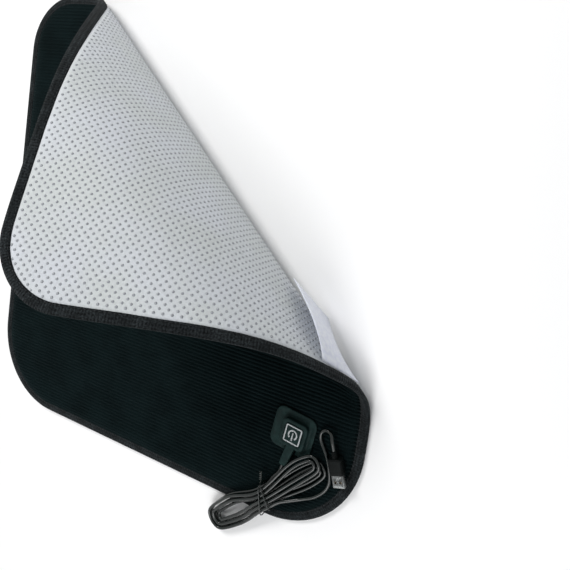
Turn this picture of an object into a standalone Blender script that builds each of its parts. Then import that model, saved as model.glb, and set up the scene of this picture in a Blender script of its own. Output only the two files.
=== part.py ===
"""Heating mat with a silicone power button and a tied USB cord.

The mat is drawn flat, from its floor side up: anti-slip cover, reflecting felt, carrier felt with
the heating wire, wadding and plush cover, all held by a sewn edge tape. Every layer is then cut
along the same slanting lines and laid over the same fold, so that one back corner stands up and
shows the anti-slip side. The button unit, the cord, its tied hank and its plug lie on the flat
front corner. Lengths are in metres, the floor is z = 0 and +X, +Y are the mat's own sides.
"""
import math

import bmesh
import bpy
import numpy as np
from mathutils import Matrix, Vector

# Mat, as cut and sewn
mat_width = 0.500
mat_depth = 0.500
front_corner_radius = 0.092
back_corner_radius = 0.062
fit_gap = 0.0003

# Layers, from the floor up
anti_slip_thickness = 0.0008
reflector_thickness = 0.0005
carrier_thickness = 0.0008
wire_space = 0.0020
wadding_thickness = 0.0018
plush_thickness = 0.0018

# Edge tape, and how the covers are drawn in under it
tape_width = 0.0092
tape_thickness = 0.0008
tape_floor_clearance = 0.0003
tape_bulge = 0.0009
pinched_plush_thickness = 0.0015
puff_width = 0.0120
filling_margin = 0.0185

# Fold: three soft bends across one slanting line, measured from the front right corner
fold_slant = math.radians(42.13)
foot_bend_distance = 0.1109
foot_bend_width = 0.0804
foot_bend_turn = math.radians(92.1)
crown_bend_distance = 0.2099
crown_bend_width = 0.1610
crown_bend_turn = math.radians(56.3)
tip_bend_distance = 0.3313
tip_bend_width = 0.0643
tip_bend_turn = math.radians(14.5)
fold_steps = 18
fold_table_steps = 900

# Heating wire and what joins it to the button unit
heating_wire_diameter = 0.0012
wire_lane_height = 0.0010
heating_row_margin = 0.04525
heating_row_count = 14
heating_margin = 0.045
heating_return_lane = 0.022
first_turn_setback = 0.062
lead_wire_spacing = 0.0030
lead_bend_radius = 0.0020
lead_hole_diameter = 0.0092
crimp_diameter = 0.0014
crimp_length = 0.0070
cutoff_length = 0.0100
cutoff_width = 0.0040
cutoff_thickness = 0.0014
cutoff_from_button = 0.0130

# Button unit
button_from_right_edge = 0.0692
button_from_front_edge = 0.0962
button_unit_turn = math.radians(-7.0)
flange_width = 0.0445
flange_depth = 0.0410
flange_radius = 0.0085
flange_offset = 0.0023
flange_thickness = 0.0014
block_size = 0.0268
block_radius = 0.0052
block_height = 0.0062
block_wall = 0.0014
block_roof = 0.0010
block_edge_round = 0.0006
tray_thickness = 0.0008
board_size = 0.0220
board_radius = 0.0020
board_thickness = 0.0008
chip_size = 0.0036
chip_height = 0.0009
chip_place = (-0.0068, -0.0066)
transistor_place = (0.0068, -0.0066)
switch_body_size = 0.0060
switch_body_height = 0.0017
switch_floor = 0.0003
plunger_diameter = 0.0026
plunger_stand = 0.0004
plunger_depth = 0.0006
button_size = 0.0192
button_radius = 0.0026
button_clearance = 0.0004
button_proud = 0.0004
button_face_thickness = 0.0013
button_lip = 0.0009
button_lip_thickness = 0.0008
button_wall = 0.0012
stem_diameter = 0.0040
inlay_depth = 0.0005
frame_size = 0.0174
frame_line = 0.0013
frame_radius = 0.0014
symbol_diameter = 0.0100
symbol_line = 0.0014
symbol_opening = math.radians(76)
symbol_bar_length = 0.0046
symbol_bar_start = 0.0014
led_length = 0.0020
led_width = 0.0013
led_height = 0.0008
led_from_centre = 0.0070
led_count = 3

# Cord, its sleeve at the button unit, and the tied hank
cord_diameter = 0.0032
cord_bore_clearance = 0.0003
supply_wire_diameter = 0.0010
supply_wire_spacing = 0.0016
supply_wire_length = 0.0030
sleeve_length = 0.0215
sleeve_offset = 0.0030
sleeve_width = 0.0090
sleeve_end_width = 0.0078
sleeve_thickness = 0.0048
sleeve_round = 0.0008
sleeve_corner = 0.0016
hank_from_right_edge = 0.0906
hank_from_front_edge = 0.0224
hank_heading = math.radians(44.0)
hank_turns = 4.5
hank_run_share = 0.90
hank_reach = (0.0810, 0.0800)
hank_lobe_half_width = (0.0170, 0.0146)
hank_step = (0.0052, 0.0048)
hank_waist_half_width = 0.0095
hank_waist_step = 0.0042
hank_waist_reach = (0.0460, 0.0600)
hank_layer_step = 0.0041
hank_lower_drift = (0.0006, -0.0004)
hank_upper_drift = (0.0022, 0.0062)
hank_ramp_inside = 0.0280
hank_ramp_outside = 0.0400
hank_rest_gap = 0.0005
hank_waist_lift = 0.0023
hank_lift_reach = 0.0400
points_per_loop = 24
turning_weight = 1.2
gap_samples_per_diameter = 3
gap_skipped_diameters = 3.75
tie_diameter = 0.0011
tie_clearance = 0.0007
tie_corner_radius = 0.0034
tie_wrap_pitch = 0.0018
tie_top_start = 0.0065
tie_top_ends = (-0.0105, 0.0030)
tie_twist_radius = 0.0009
tie_twist_length = 0.0130
tie_twist_pitch = 0.0060
tie_twist_points = 10
tie_twist_lean = math.radians(-52)
tie_twist_rise = math.radians(24)
tail_route = (
    (-0.0720, 0.0264, 0.0154),
    (-0.0620, 0.0312, 0.0134),
    (-0.0510, 0.0362, 0.0110),
    (-0.0395, 0.0430, 0.0107),
    (-0.0306, 0.0522, 0.0107),
    (-0.0270, 0.0610, 0.0107),
    (-0.0272, 0.0680, 0.0107),
    (-0.0292, 0.0755, 0.0107),
    (-0.0320, 0.0825, 0.0107),
    (-0.0356, 0.0895, 0.0107),
    (-0.0398, 0.0960, 0.0108),
    (-0.0424, 0.1020, 0.0110),
    (-0.0416, 0.1080, 0.0115),
    (-0.0368, 0.1116, 0.0124),
    (-0.0316, 0.1098, 0.0134),
)
lead_route = (
    (-0.0843, 0.0455, 0.0106),
    (-0.0880, 0.0385, 0.0115),
)

# Plug
plug_from_right_edge = 0.0218
plug_from_front_edge = 0.0825
plug_height = 0.0132
plug_heading = math.radians(-71.0)
plug_pitch = math.radians(3.0)
plug_body_length = 0.0155
plug_body_width = 0.0140
plug_body_height = 0.0076
plug_body_corner = 0.0020
plug_body_round = 0.0012
plug_neck_length = 0.0060
plug_neck_diameter = 0.0062
plug_neck_end_diameter = 0.0052
plug_neck_rings = 3
plug_neck_groove = 0.0005
plug_shell_length = 0.0120
plug_shell_inside = 0.0035
plug_shell_width = 0.0120
plug_shell_height = 0.0045
plug_shell_wall = 0.0004
plug_shell_corner = 0.0007
plug_window_size = 0.0022
plug_window_from_front = 0.0052
plug_window_spacing = 0.0050
plug_tongue_width = 0.0104
plug_tongue_thickness = 0.0018
plug_contact_count = 4
plug_contact_width = 0.0011
plug_contact_length = 0.0078
plug_contact_thickness = 0.0003
plug_contact_pitch = 0.0024

# Care label, sewn under the right edge and hanging to the floor behind the fold
label_seam_start = 0.176
label_seam_end = 0.214
label_thickness = 0.0005
label_steps = 8
label_near_bend = (-0.0365, 0.1856, 0.0010)
label_near_corner = (-0.0570, 0.2125, 0.0010)
label_far_bend = (-0.0540, 0.2250, 0.0180)
label_far_corner = (-0.0860, 0.2460, 0.0140)

# Fineness of the meshes
corner_segments = 6
small_corner_segments = 5
cutter_overrun = 0.0010
weld_distance = 0.00001
cut_snap = 0.0000005
smooth_angle = math.radians(38)

# Heights of the layers over the floor
anti_slip_top = anti_slip_thickness
reflector_bottom = anti_slip_top + fit_gap
carrier_bottom = reflector_bottom + reflector_thickness + fit_gap
carrier_top = carrier_bottom + carrier_thickness
wadding_bottom = carrier_top + wire_space
wadding_top = wadding_bottom + wadding_thickness
plush_bottom = wadding_top + fit_gap
plush_top = plush_bottom + plush_thickness
heating_wire_height = carrier_top + wire_lane_height
heating_row_pitch = (mat_depth - 2 * heating_row_margin) / (heating_row_count - 1)
first_heating_row = heating_row_margin - mat_depth / 2

# Heights of the pinched rim inside the edge tape
rim_floor = tape_floor_clearance + tape_thickness + fit_gap
rim_anti_slip_top = rim_floor + anti_slip_thickness
rim_plush_bottom = rim_anti_slip_top + fit_gap
rim_plush_top = rim_plush_bottom + pinched_plush_thickness
tape_top = rim_plush_top + fit_gap + tape_thickness
rim_inset = tape_bulge + tape_thickness + fit_gap

part_collection = bpy.data.collections.new("heating_mat")
cutter_collection = bpy.data.collections.new("cutters")


def clear_scene():
    """Start from an empty scene with one collection for the parts and one for the cutters."""
    for old_object in list(bpy.data.objects):
        bpy.data.objects.remove(old_object)
    bpy.context.scene.collection.children.link(part_collection)
    bpy.context.scene.collection.children.link(cutter_collection)


def finish(name, colour, roughness, metallic=0.0):
    """Return a Principled material of one colour."""
    material = bpy.data.materials.new(name)
    material.use_nodes = True
    shader = material.node_tree.nodes["Principled BSDF"]
    shader.inputs["Base Color"].default_value = (*colour, 1.0)
    shader.inputs["Roughness"].default_value = roughness
    shader.inputs["Metallic"].default_value = metallic
    material.diffuse_color = (*colour, 1.0)
    return material


def add_object(name, data, material, parent=None, is_cutter=False):
    """Put mesh or curve data into the scene as a named object."""
    new_object = bpy.data.objects.new(name, data)
    (cutter_collection if is_cutter else part_collection).objects.link(new_object)
    if material is not None:
        data.materials.append(material)
    new_object.parent = parent
    if is_cutter:
        new_object.hide_render = True
        new_object.display_type = "WIRE"
    return new_object


def seat(name, location, turn):
    """Return an empty that carries a group of pieces at its place and turn."""
    empty = bpy.data.objects.new(name, None)
    part_collection.objects.link(empty)
    empty.location = location
    empty.rotation_euler = (0, 0, turn)
    return empty


def shade(mesh_object):
    """Shade round forms smooth and keep the hard edges."""
    mesh_object.data.shade_smooth()
    mesh_object.data.set_sharp_from_angle(angle=smooth_angle)


def as_mesh(source, name):
    """Replace an object by a mesh object of its evaluated shape, with its caps welded."""
    bpy.context.view_layer.update()
    evaluated = source.evaluated_get(bpy.context.evaluated_depsgraph_get())
    mesh = bpy.data.meshes.new_from_object(evaluated)
    bm = bmesh.new()
    bm.from_mesh(mesh)
    bmesh.ops.remove_doubles(bm, verts=bm.verts, dist=weld_distance)
    bm.to_mesh(mesh)
    bm.free()
    mesh.name = name
    material = source.data.materials[0] if source.data.materials else None
    parent = source.parent
    matrix = source.matrix_basis.copy()
    bpy.data.objects.remove(source)
    if material is not None:
        mesh.materials.clear()
    result = add_object(name, mesh, material, parent)
    result.matrix_basis = matrix
    return result


def add_bevel(piece, width, segments=2):
    """Round the edges of a piece."""
    bevel = piece.modifiers.new("edge_round", "BEVEL")
    bevel.width = width
    bevel.segments = segments
    bevel.limit_method = "ANGLE"
    bevel.angle_limit = smooth_angle
    bevel.use_clamp_overlap = True
    return piece


def add_cut(piece, cutter):
    """Take the cutter's shape out of a piece."""
    boolean = piece.modifiers.new("cut_" + cutter.name, "BOOLEAN")
    boolean.operation = "DIFFERENCE"
    boolean.solver = "EXACT"
    boolean.object = cutter
    return piece


def add_union(piece, other):
    """Join a guide body to a piece."""
    boolean = piece.modifiers.new("join_" + other.name, "BOOLEAN")
    boolean.operation = "UNION"
    boolean.solver = "EXACT"
    boolean.object = other
    return piece


def arc(centre, radius, start, end, segments):
    """Points on an arc in the plane, both ends included."""
    angles = [start + (end - start) * i / segments for i in range(segments + 1)]
    return [(centre[0] + radius * math.cos(a), centre[1] + radius * math.sin(a)) for a in angles]


def rounded_outline(left, right, front, back, front_radius, back_radius, segments):
    """Outline of a rectangle with round corners, counter-clockwise from its front right corner."""
    quarter = math.pi / 2
    corners = (
        (right - front_radius, front + front_radius, front_radius, -quarter),
        (right - back_radius, back - back_radius, back_radius, 0),
        (left + back_radius, back - back_radius, back_radius, quarter),
        (left + front_radius, front + front_radius, front_radius, 2 * quarter),
    )
    points = []
    for x, y, radius, start in corners:
        points += arc((x, y), radius, start, start + quarter, segments)
    return points


def rounded_square(width, depth, radius, segments=small_corner_segments):
    """Centred outline with four like corners."""
    return rounded_outline(-width / 2, width / 2, -depth / 2, depth / 2, radius, radius, segments)


def mat_outline(inset):
    """The mat's own outline, drawn in by an inset."""
    return rounded_outline(
        -mat_width / 2 + inset,
        mat_width / 2 - inset,
        -mat_depth / 2 + inset,
        mat_depth / 2 - inset,
        front_corner_radius - inset,
        back_corner_radius - inset,
        corner_segments,
    )


def plate(name, outlines, bottom, top, material, parent=None, is_cutter=False):
    """A flat piece: one outline, or an outline with holes, between two heights."""
    curve = bpy.data.curves.new(name, "CURVE")
    curve.dimensions = "2D"
    curve.fill_mode = "BOTH"
    curve.extrude = (top - bottom) / 2
    for outline in outlines:
        spline = curve.splines.new("POLY")
        spline.points.add(len(outline) - 1)
        for point, (x, y) in zip(spline.points, outline):
            point.co = (x, y, 0, 1)
        spline.use_cyclic_u = True
    flat = add_object(name, curve, material, parent, is_cutter)
    flat.location = (0, 0, (top + bottom) / 2)
    piece = as_mesh(flat, name)
    if is_cutter:
        part_collection.objects.unlink(piece)
        cutter_collection.objects.link(piece)
        piece.hide_render = True
        piece.display_type = "WIRE"
    return piece


def cylinder(name, diameter, bottom, top, material, parent=None, sides=20, is_cutter=False):
    """An upright round piece, centred on its parent's axis."""
    bm = bmesh.new()
    bmesh.ops.create_cone(
        bm, cap_ends=True, segments=sides, radius1=diameter / 2, radius2=diameter / 2, depth=top - bottom
    )
    mesh = bpy.data.meshes.new(name)
    bm.to_mesh(mesh)
    bm.free()
    piece = add_object(name, mesh, material, parent, is_cutter)
    piece.location = (0, 0, (top + bottom) / 2)
    return piece


def box(name, size, centre, material, parent=None, is_cutter=False):
    """A block of the given size about a centre."""
    bm = bmesh.new()
    bmesh.ops.create_cube(bm, size=1.0, matrix=Matrix.Diagonal((*size, 1.0)))
    mesh = bpy.data.meshes.new(name)
    bm.to_mesh(mesh)
    bm.free()
    piece = add_object(name, mesh, material, parent, is_cutter)
    piece.location = centre
    return piece


def tube(name, points, diameter, material, resolution=2, parent=None):
    """A round tube with filled ends along a list of points."""
    curve = bpy.data.curves.new(name, "CURVE")
    curve.dimensions = "3D"
    curve.bevel_depth = diameter / 2
    curve.bevel_resolution = resolution
    curve.use_fill_caps = True
    spline = curve.splines.new("POLY")
    spline.points.add(len(points) - 1)
    for point, place in zip(spline.points, points):
        point.co = (*place, 1.0)
    return add_object(name, curve, material, parent)


def smooth_route(places, start_heading, end_heading, spacing):
    """Points at an even spacing on a smooth curve through the places, straight at both ends."""
    places = [np.array(place, dtype=float) for place in places]
    start = np.array(start_heading, dtype=float)
    end = np.array(end_heading, dtype=float)
    start /= np.linalg.norm(start)
    end /= np.linalg.norm(end)
    knots = [places[0], places[0] + start * spacing]
    knots += places[1:-1]
    knots += [places[-1] - end * spacing, places[-1]]
    fine = [knots[0]]
    for i in range(1, len(knots) - 2):
        before, here, there, after = knots[i - 1], knots[i], knots[i + 1], knots[i + 2]
        for step in range(16):
            t = step / 16
            tangent_here = (there - before) / 2
            tangent_there = (after - here) / 2
            fine.append(
                (2 * t**3 - 3 * t**2 + 1) * here
                + (t**3 - 2 * t**2 + t) * tangent_here
                + (3 * t**2 - 2 * t**3) * there
                + (t**3 - t**2) * tangent_there
            )
    fine += [knots[-2], knots[-1]]
    fine = np.array(fine)
    run = np.concatenate([[0], np.cumsum(np.linalg.norm(np.diff(fine, axis=0), axis=1))])
    count = max(4, int(round(run[-1] / spacing)))
    at = np.linspace(0, run[-1], count + 1)
    return np.stack([np.interp(at, run, fine[:, axis]) for axis in range(3)], axis=1)


def bend_share(position):
    """Share of a bend that is behind a position, which runs from -1/2 to 1/2 across the bend."""
    position = np.clip(position, -0.5, 0.5)
    return 0.5 + position + np.sin(2 * math.pi * position) / (2 * math.pi)


class Fold:
    """Maps the flat mat onto its folded form, straight between the fold's cut lines."""

    def __init__(self):
        bends = (
            (foot_bend_distance, foot_bend_width, foot_bend_turn),
            (crown_bend_distance, crown_bend_width, crown_bend_turn),
            (tip_bend_distance, tip_bend_width, tip_bend_turn),
        )
        self.across = np.array((math.sin(fold_slant), math.cos(fold_slant)))
        self.corner = np.array((mat_width / 2, -mat_depth / 2))
        reach = mat_width + mat_depth
        distance = np.linspace(0, reach, fold_table_steps * 2 + 1)
        turn = sum(angle * bend_share((distance - middle) / width) for middle, width, angle in bends)
        step = distance[1] - distance[0]
        middle_turn = (turn[1:] + turn[:-1]) / 2
        forward = np.concatenate([[0], np.cumsum(np.cos(middle_turn) * step)])
        upward = np.concatenate([[0], np.cumsum(np.sin(middle_turn) * step)])
        rising = np.concatenate([[True], np.diff(turn) > 0])
        wanted = np.linspace(0, turn[-1], fold_steps + 1)[1:-1]
        inner = np.interp(wanted, turn[rising], distance[rising])
        start = foot_bend_distance - foot_bend_width / 2
        end = tip_bend_distance + tip_bend_width / 2
        self.stations = np.concatenate([[0, start], inner, [end, reach]])
        self.forward = np.interp(self.stations, distance, forward)
        self.upward = np.interp(self.stations, distance, upward)
        self.turn = np.interp(self.stations, distance, turn)

    def distance(self, points):
        """Distance of flat points from the front right corner, square to the fold's cut lines."""
        return (points[:, :2] - self.corner) @ self.across

    def turn_at(self, distance):
        return np.interp(distance, self.stations, self.turn)

    def place(self, points):
        """Folded places of flat points, whose z is their height over the floor side."""
        points = np.asarray(points, dtype=float)
        distance = self.distance(points)
        height = points[:, 2]
        forward = np.interp(distance, self.stations, self.forward)
        upward = np.interp(distance, self.stations, self.upward)
        sine = np.interp(distance, self.stations, np.sin(self.turn))
        cosine = np.interp(distance, self.stations, np.cos(self.turn))
        bent = distance > self.stations[1]
        shift = np.where(bent, forward - distance - height * sine, 0)
        result = points.copy()
        result[:, :2] += shift[:, None] * self.across
        result[:, 2] = np.where(bent, upward + height * cosine, height)
        return result

    def lay(self, piece):
        """Cut a flat piece along the fold's cut lines and lay it over the fold."""
        bm = bmesh.new()
        bm.from_mesh(piece.data)
        for station in self.stations[1:-1]:
            on_line = self.corner + station * self.across
            bmesh.ops.bisect_plane(
                bm,
                geom=bm.verts[:] + bm.edges[:] + bm.faces[:],
                dist=cut_snap,
                plane_co=(*on_line, 0),
                plane_no=(*self.across, 0),
            )
        places = self.place(np.array([vert.co for vert in bm.verts]))
        for vert, place in zip(bm.verts, places):
            vert.co = place
        bmesh.ops.triangulate(bm, faces=[face for face in bm.faces if len(face.verts) > 4])
        bm.to_mesh(piece.data)
        bm.free()
        shade(piece)
        return piece


fold = Fold()


def layer(name, upper, lower, material):
    """A flat layer lofted through rings, each an inset of the mat's outline at a height."""
    bm = bmesh.new()
    rings = []
    for inset, height in list(reversed(lower)) + list(upper):
        rings.append([bm.verts.new((x, y, height)) for x, y in mat_outline(inset)])
    count = len(rings[0])
    bm.faces.new(list(reversed(rings[0])))
    for ring, following in zip(rings, rings[1:]):
        for i in range(count):
            j = (i + 1) % count
            bm.faces.new((ring[i], ring[j], following[j], following[i]))
    bm.faces.new(rings[-1])
    mesh = bpy.data.meshes.new(name)
    bm.to_mesh(mesh)
    bm.free()
    return add_object(name, mesh, material)


def on_mat(from_right_edge, from_front_edge, height=0.0):
    """A place given by its distances from the mat's right and front edges."""
    return Vector((mat_width / 2 - from_right_edge, from_front_edge - mat_depth / 2, height))


def from_corner(place):
    """A place given from the mat's front right corner, in the scene's own frame."""
    return on_mat(-place[0], place[1], place[2])


def button_place():
    """Seat of the button unit, on top of the plush."""
    return on_mat(button_from_right_edge, button_from_front_edge, plush_top + fit_gap)


def drill_leads(piece):
    """Open a layer where the lead wires pass."""
    hole = cylinder(
        piece.name + "_hole", lead_hole_diameter, -cutter_overrun, plush_top + cutter_overrun, None,
        sides=12, is_cutter=True
    )
    hole.location.x, hole.location.y = button_place()[:2]
    add_cut(piece, hole)
    return as_mesh(piece, piece.name)


def make_anti_slip_cover(material):
    """Floor side: silver anti-slip fabric, flat on the floor and drawn up into the edge tape."""
    rise_end = tape_width + puff_width / 3
    upper = [
        (rim_inset, rim_anti_slip_top),
        (tape_width + fit_gap, rim_anti_slip_top),
        (rise_end, anti_slip_top),
    ]
    lower = [(rim_inset, rim_floor), (tape_width + fit_gap, rim_floor), (rise_end, 0)]
    return fold.lay(layer("anti_slip_cover", upper, lower, material))


def make_filling(name, bottom, top, margin, material, has_lead_hole=False):
    """A plain layer that ends inside the edge."""
    filling = layer(name, [(margin, top)], [(margin, bottom)], material)
    if has_lead_hole:
        filling = drill_leads(filling)
    return fold.lay(filling)


def make_plush_cover(material):
    """Top side: thick plush that swells up from the edge tape."""
    crown_shares = ((0.0, 0.0), (0.13, 0.30), (0.35, 0.66), (0.65, 0.91), (1.0, 1.0))
    tape_inner = tape_width + fit_gap
    upper = [(rim_inset, rim_plush_top)]
    lower = [(rim_inset, rim_plush_bottom)]
    for run_share, rise_share in crown_shares:
        inset = tape_inner + run_share * puff_width
        upper.append((inset, rim_plush_top + rise_share * (plush_top - rim_plush_top)))
    for run_share, rise_share in crown_shares[0::2]:
        inset = tape_inner + run_share * (filling_margin - tape_inner - fit_gap)
        lower.append((inset, rim_plush_bottom + rise_share * (plush_bottom - rim_plush_bottom)))
    cover = drill_leads(layer("plush_cover", upper, lower, material))
    return fold.lay(cover)


def make_edge_tape(material):
    """Woven tape folded round the whole edge, as a channel that holds both covers."""
    low = tape_floor_clearance
    inner_low = low + tape_thickness
    inner_high = tape_top - tape_thickness
    middle = (low + tape_top) / 2
    shoulder = (tape_top - low) / 4
    section = [
        (tape_width, low),
        (tape_bulge, low),
        (0, middle - shoulder),
        (0, middle + shoulder),
        (tape_bulge, tape_top),
        (tape_width, tape_top),
        (tape_width, inner_high),
        (rim_inset - fit_gap, inner_high),
        (rim_inset - fit_gap, inner_low),
        (tape_width, inner_low),
    ]
    bm = bmesh.new()
    rings = []
    for inset, height in section:
        rings.append([bm.verts.new((x, y, height)) for x, y in mat_outline(inset)])
    count = len(rings[0])
    for k, ring in enumerate(rings):
        following = rings[(k + 1) % len(rings)]
        for i in range(count):
            j = (i + 1) % count
            bm.faces.new((ring[i], ring[j], following[j], following[i]))
    bmesh.ops.recalc_face_normals(bm, faces=bm.faces)
    mesh = bpy.data.meshes.new("edge_tape")
    bm.to_mesh(mesh)
    bm.free()
    return fold.lay(add_object("edge_tape", mesh, material))


def quadratic(start, bend, end, share):
    """Point on a simple curve that leaves the start towards the bend and reaches the end."""
    return (1 - share) ** 2 * start + 2 * share * (1 - share) * bend + share**2 * end


def make_care_label(material):
    """Satin label, sewn under the right edge and hanging down to the floor behind the fold."""
    seam_x = mat_width / 2 - tape_width - 2 * fit_gap
    seam_height = -2 * fit_gap - label_thickness
    seam = fold.place(
        [
            (seam_x, label_seam_start - mat_depth / 2, seam_height),
            (seam_x, label_seam_end - mat_depth / 2, seam_height),
        ]
    )
    near = (Vector(seam[0]), from_corner(label_near_bend), from_corner(label_near_corner))
    far = (Vector(seam[1]), from_corner(label_far_bend), from_corner(label_far_corner))
    bm = bmesh.new()
    rows = []
    for i in range(label_steps + 1):
        share = i / label_steps
        near_point = quadratic(*near, share)
        far_point = quadratic(*far, share)
        middle = (near_point + far_point) / 2
        rows.append([bm.verts.new(point) for point in (near_point, middle, far_point)])
    for row, following in zip(rows, rows[1:]):
        for j in range(2):
            bm.faces.new((row[j], row[j + 1], following[j + 1], following[j]))
    mesh = bpy.data.meshes.new("care_label")
    bm.to_mesh(mesh)
    bm.free()
    label = add_object("care_label", mesh, material)
    wall = label.modifiers.new("satin", "SOLIDIFY")
    wall.thickness = label_thickness
    wall.offset = 0
    return label


def heating_path():
    """Flat route of the heating wire: rows joined by half turns, and a lane back to the button."""
    left = -mat_width / 2 + heating_margin
    right = mat_width / 2 - heating_margin - heating_return_lane
    lane = mat_width / 2 - heating_margin
    rows = [first_heating_row + heating_row_pitch * i for i in range(heating_row_count)]
    radius = heating_row_pitch / 2
    quarter = math.pi / 2
    start_x = button_place().x
    path = arc((start_x - radius, rows[0] + radius), radius, 0, -quarter, 4)
    for i, y in enumerate(rows[:-1]):
        middle = y + radius
        if i % 2 == 0:
            path += arc((left + radius, middle), radius, -quarter, -3 * quarter, 6)
        else:
            limit = right - first_turn_setback if i == 1 else right
            path += arc((limit - radius, middle), radius, -quarter, quarter, 6)
    path += arc((lane - radius, rows[-1] - radius), radius, quarter, 0, 4)
    path.append((lane, lane_end()))
    return path


def lane_end():
    """Where the return lane of the heating wire ends, level with its crimp."""
    return button_place().y + heating_row_pitch + crimp_length / 2 + fit_gap


def make_heating_wire(material):
    """Heating wire, sewn in rows on the carrier felt."""
    points = [(x, y, heating_wire_height) for x, y in heating_path()]
    wire = as_mesh(tube("heating_wire", points, heating_wire_diameter, material, 1), "heating_wire")
    return fold.lay(wire)


def down_the_hole(name, along, side, turn_to, length, material):
    """A lead wire from under the circuit board, down through the mat and out along its lane."""
    button = button_place()
    board_under = button.z + tray_thickness
    foot = Vector((button.x + side[0], button.y + side[1], heating_wire_height))
    top = Vector((foot.x, foot.y, board_under))
    quarter_points = []
    for i in range(5):
        angle = math.pi / 2 * i / 4
        out = lead_bend_radius * (1 - math.cos(angle))
        down = lead_bend_radius * (1 - math.sin(angle))
        quarter_points.append(foot + Vector((along[0] * out, along[1] * out, down)))
    points = [top] + quarter_points
    last = foot + Vector((along[0], along[1], 0)) * length
    if turn_to is None:
        points.append(last)
    else:
        radius = heating_row_pitch / 4
        bend = foot + Vector((along[0], along[1], 0)) * (length - radius)
        for i in range(5):
            angle = math.pi / 2 * i / 4
            points.append(
                bend
                + Vector((along[0], along[1], 0)) * radius * math.sin(angle)
                + Vector((turn_to[0], turn_to[1], 0)) * radius * (1 - math.cos(angle))
            )
        points.append(Vector((last.x, lane_end() - crimp_length - 2 * fit_gap, last.z)))
    return tube(name, points, heating_wire_diameter, material, 1)


def make_leads(red, black, tin, white):
    """Two lead wires with a thermal cutoff in one, and the crimps that join them."""
    button = button_place()
    half = lead_wire_spacing / 2
    start_y = first_heating_row + heating_row_pitch / 2
    lane = mat_width / 2 - heating_margin
    down_the_hole("lead_wire_red", (1, 0), (0, half), (0, 1), lane - button.x, red)
    to_cutoff = cutoff_from_button - half - cutoff_length / 2 - fit_gap
    down_the_hole("lead_wire_black", (0, -1), (0, -half), None, to_cutoff, black)
    cutoff_y = button.y - cutoff_from_button
    box(
        "thermal_cutoff",
        (cutoff_width, cutoff_length, cutoff_thickness),
        (button.x, cutoff_y, heating_wire_height),
        white,
    )
    crimp_end = start_y + fit_gap
    link_start = cutoff_y - cutoff_length / 2 - fit_gap
    link_end = crimp_end + crimp_length + fit_gap
    link = [(button.x, link_start, heating_wire_height), (button.x, link_end, heating_wire_height)]
    tube("cutoff_wire", link, heating_wire_diameter, black, 1)
    places = (
        (button.x, crimp_end + crimp_length / 2),
        (lane, lane_end() - fit_gap - crimp_length / 2),
    )
    for name, (x, y) in zip(("crimp_sleeve_black", "crimp_sleeve_red"), places):
        crimp = cylinder(name, crimp_diameter, -crimp_length / 2, crimp_length / 2, tin, None, 6)
        crimp.rotation_euler = (math.pi / 2, 0, 0)
        crimp.location = (x, y, heating_wire_height)


# Heights in the button unit, over its seat
block_top = block_height
board_bottom = tray_thickness + fit_gap
board_top = board_bottom + board_thickness
switch_bottom = board_top + fit_gap
switch_top = switch_bottom + switch_body_height
plunger_top = switch_top + plunger_stand
face_top = block_top + button_proud
face_bottom = face_top - button_face_thickness
lip_top = block_top - block_roof - fit_gap
lip_bottom = lip_top - button_lip_thickness
cord_axis = sleeve_thickness / 2


def make_housing(material, unit):
    """Silicone housing: a thin flange on the plush and a hollow block with the button opening."""
    inner = block_size - 2 * block_wall
    square = rounded_square(flange_width, flange_depth, flange_radius)
    flange = [(x - flange_offset, y) for x, y in square]
    shell = plate("button_housing", [flange], 0, flange_thickness, material, unit)
    block = plate(
        "block_body", [rounded_square(block_size, block_size, block_radius)], 0, block_top, None, unit, True
    )
    add_bevel(block, block_edge_round)
    add_union(shell, block)
    cavity_radius = block_radius - block_wall
    cavity = plate(
        "block_cavity", [rounded_square(inner, inner, cavity_radius)], -cutter_overrun,
        block_top - block_roof, None, unit, True
    )
    add_cut(shell, cavity)
    opening = button_size + 2 * button_clearance
    opening_cutter = plate(
        "button_opening", [rounded_square(opening, opening, button_radius + button_clearance)],
        lip_top, block_top + cutter_overrun, None, unit, True
    )
    add_cut(shell, opening_cutter)
    slot_depth = (flange_depth - block_size) / 2 + cutter_overrun
    slot_width = sleeve_width + 2 * fit_gap + 2 * slot_depth * math.sin(sleeve_lean())
    slot = box(
        "sleeve_slot",
        (slot_width, slot_depth, 2 * flange_thickness + 2 * cutter_overrun),
        (0, -block_size / 2 - slot_depth / 2, 0),
        None, unit, True
    )
    add_cut(shell, slot)
    bore = cylinder(
        "wall_bore", cord_diameter + 2 * cord_bore_clearance, -block_wall, block_wall, None, unit, 12, True
    )
    bore.rotation_euler = (math.pi / 2, 0, -sleeve_lean())
    bore.location = (0, -block_size / 2, cord_axis)
    add_cut(shell, bore)
    return shell


def make_tray(material, unit):
    """Tray that closes the housing below and lets the lead wires through."""
    size = block_size - 2 * block_wall - 2 * fit_gap
    outline = rounded_square(size, size, block_radius - block_wall - fit_gap)
    hole = list(reversed(arc((0, 0), lead_hole_diameter / 2, 0, 2 * math.pi * 15 / 16, 15)))
    return plate("bottom_tray", [outline, hole], 0, tray_thickness, material, unit)


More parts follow.
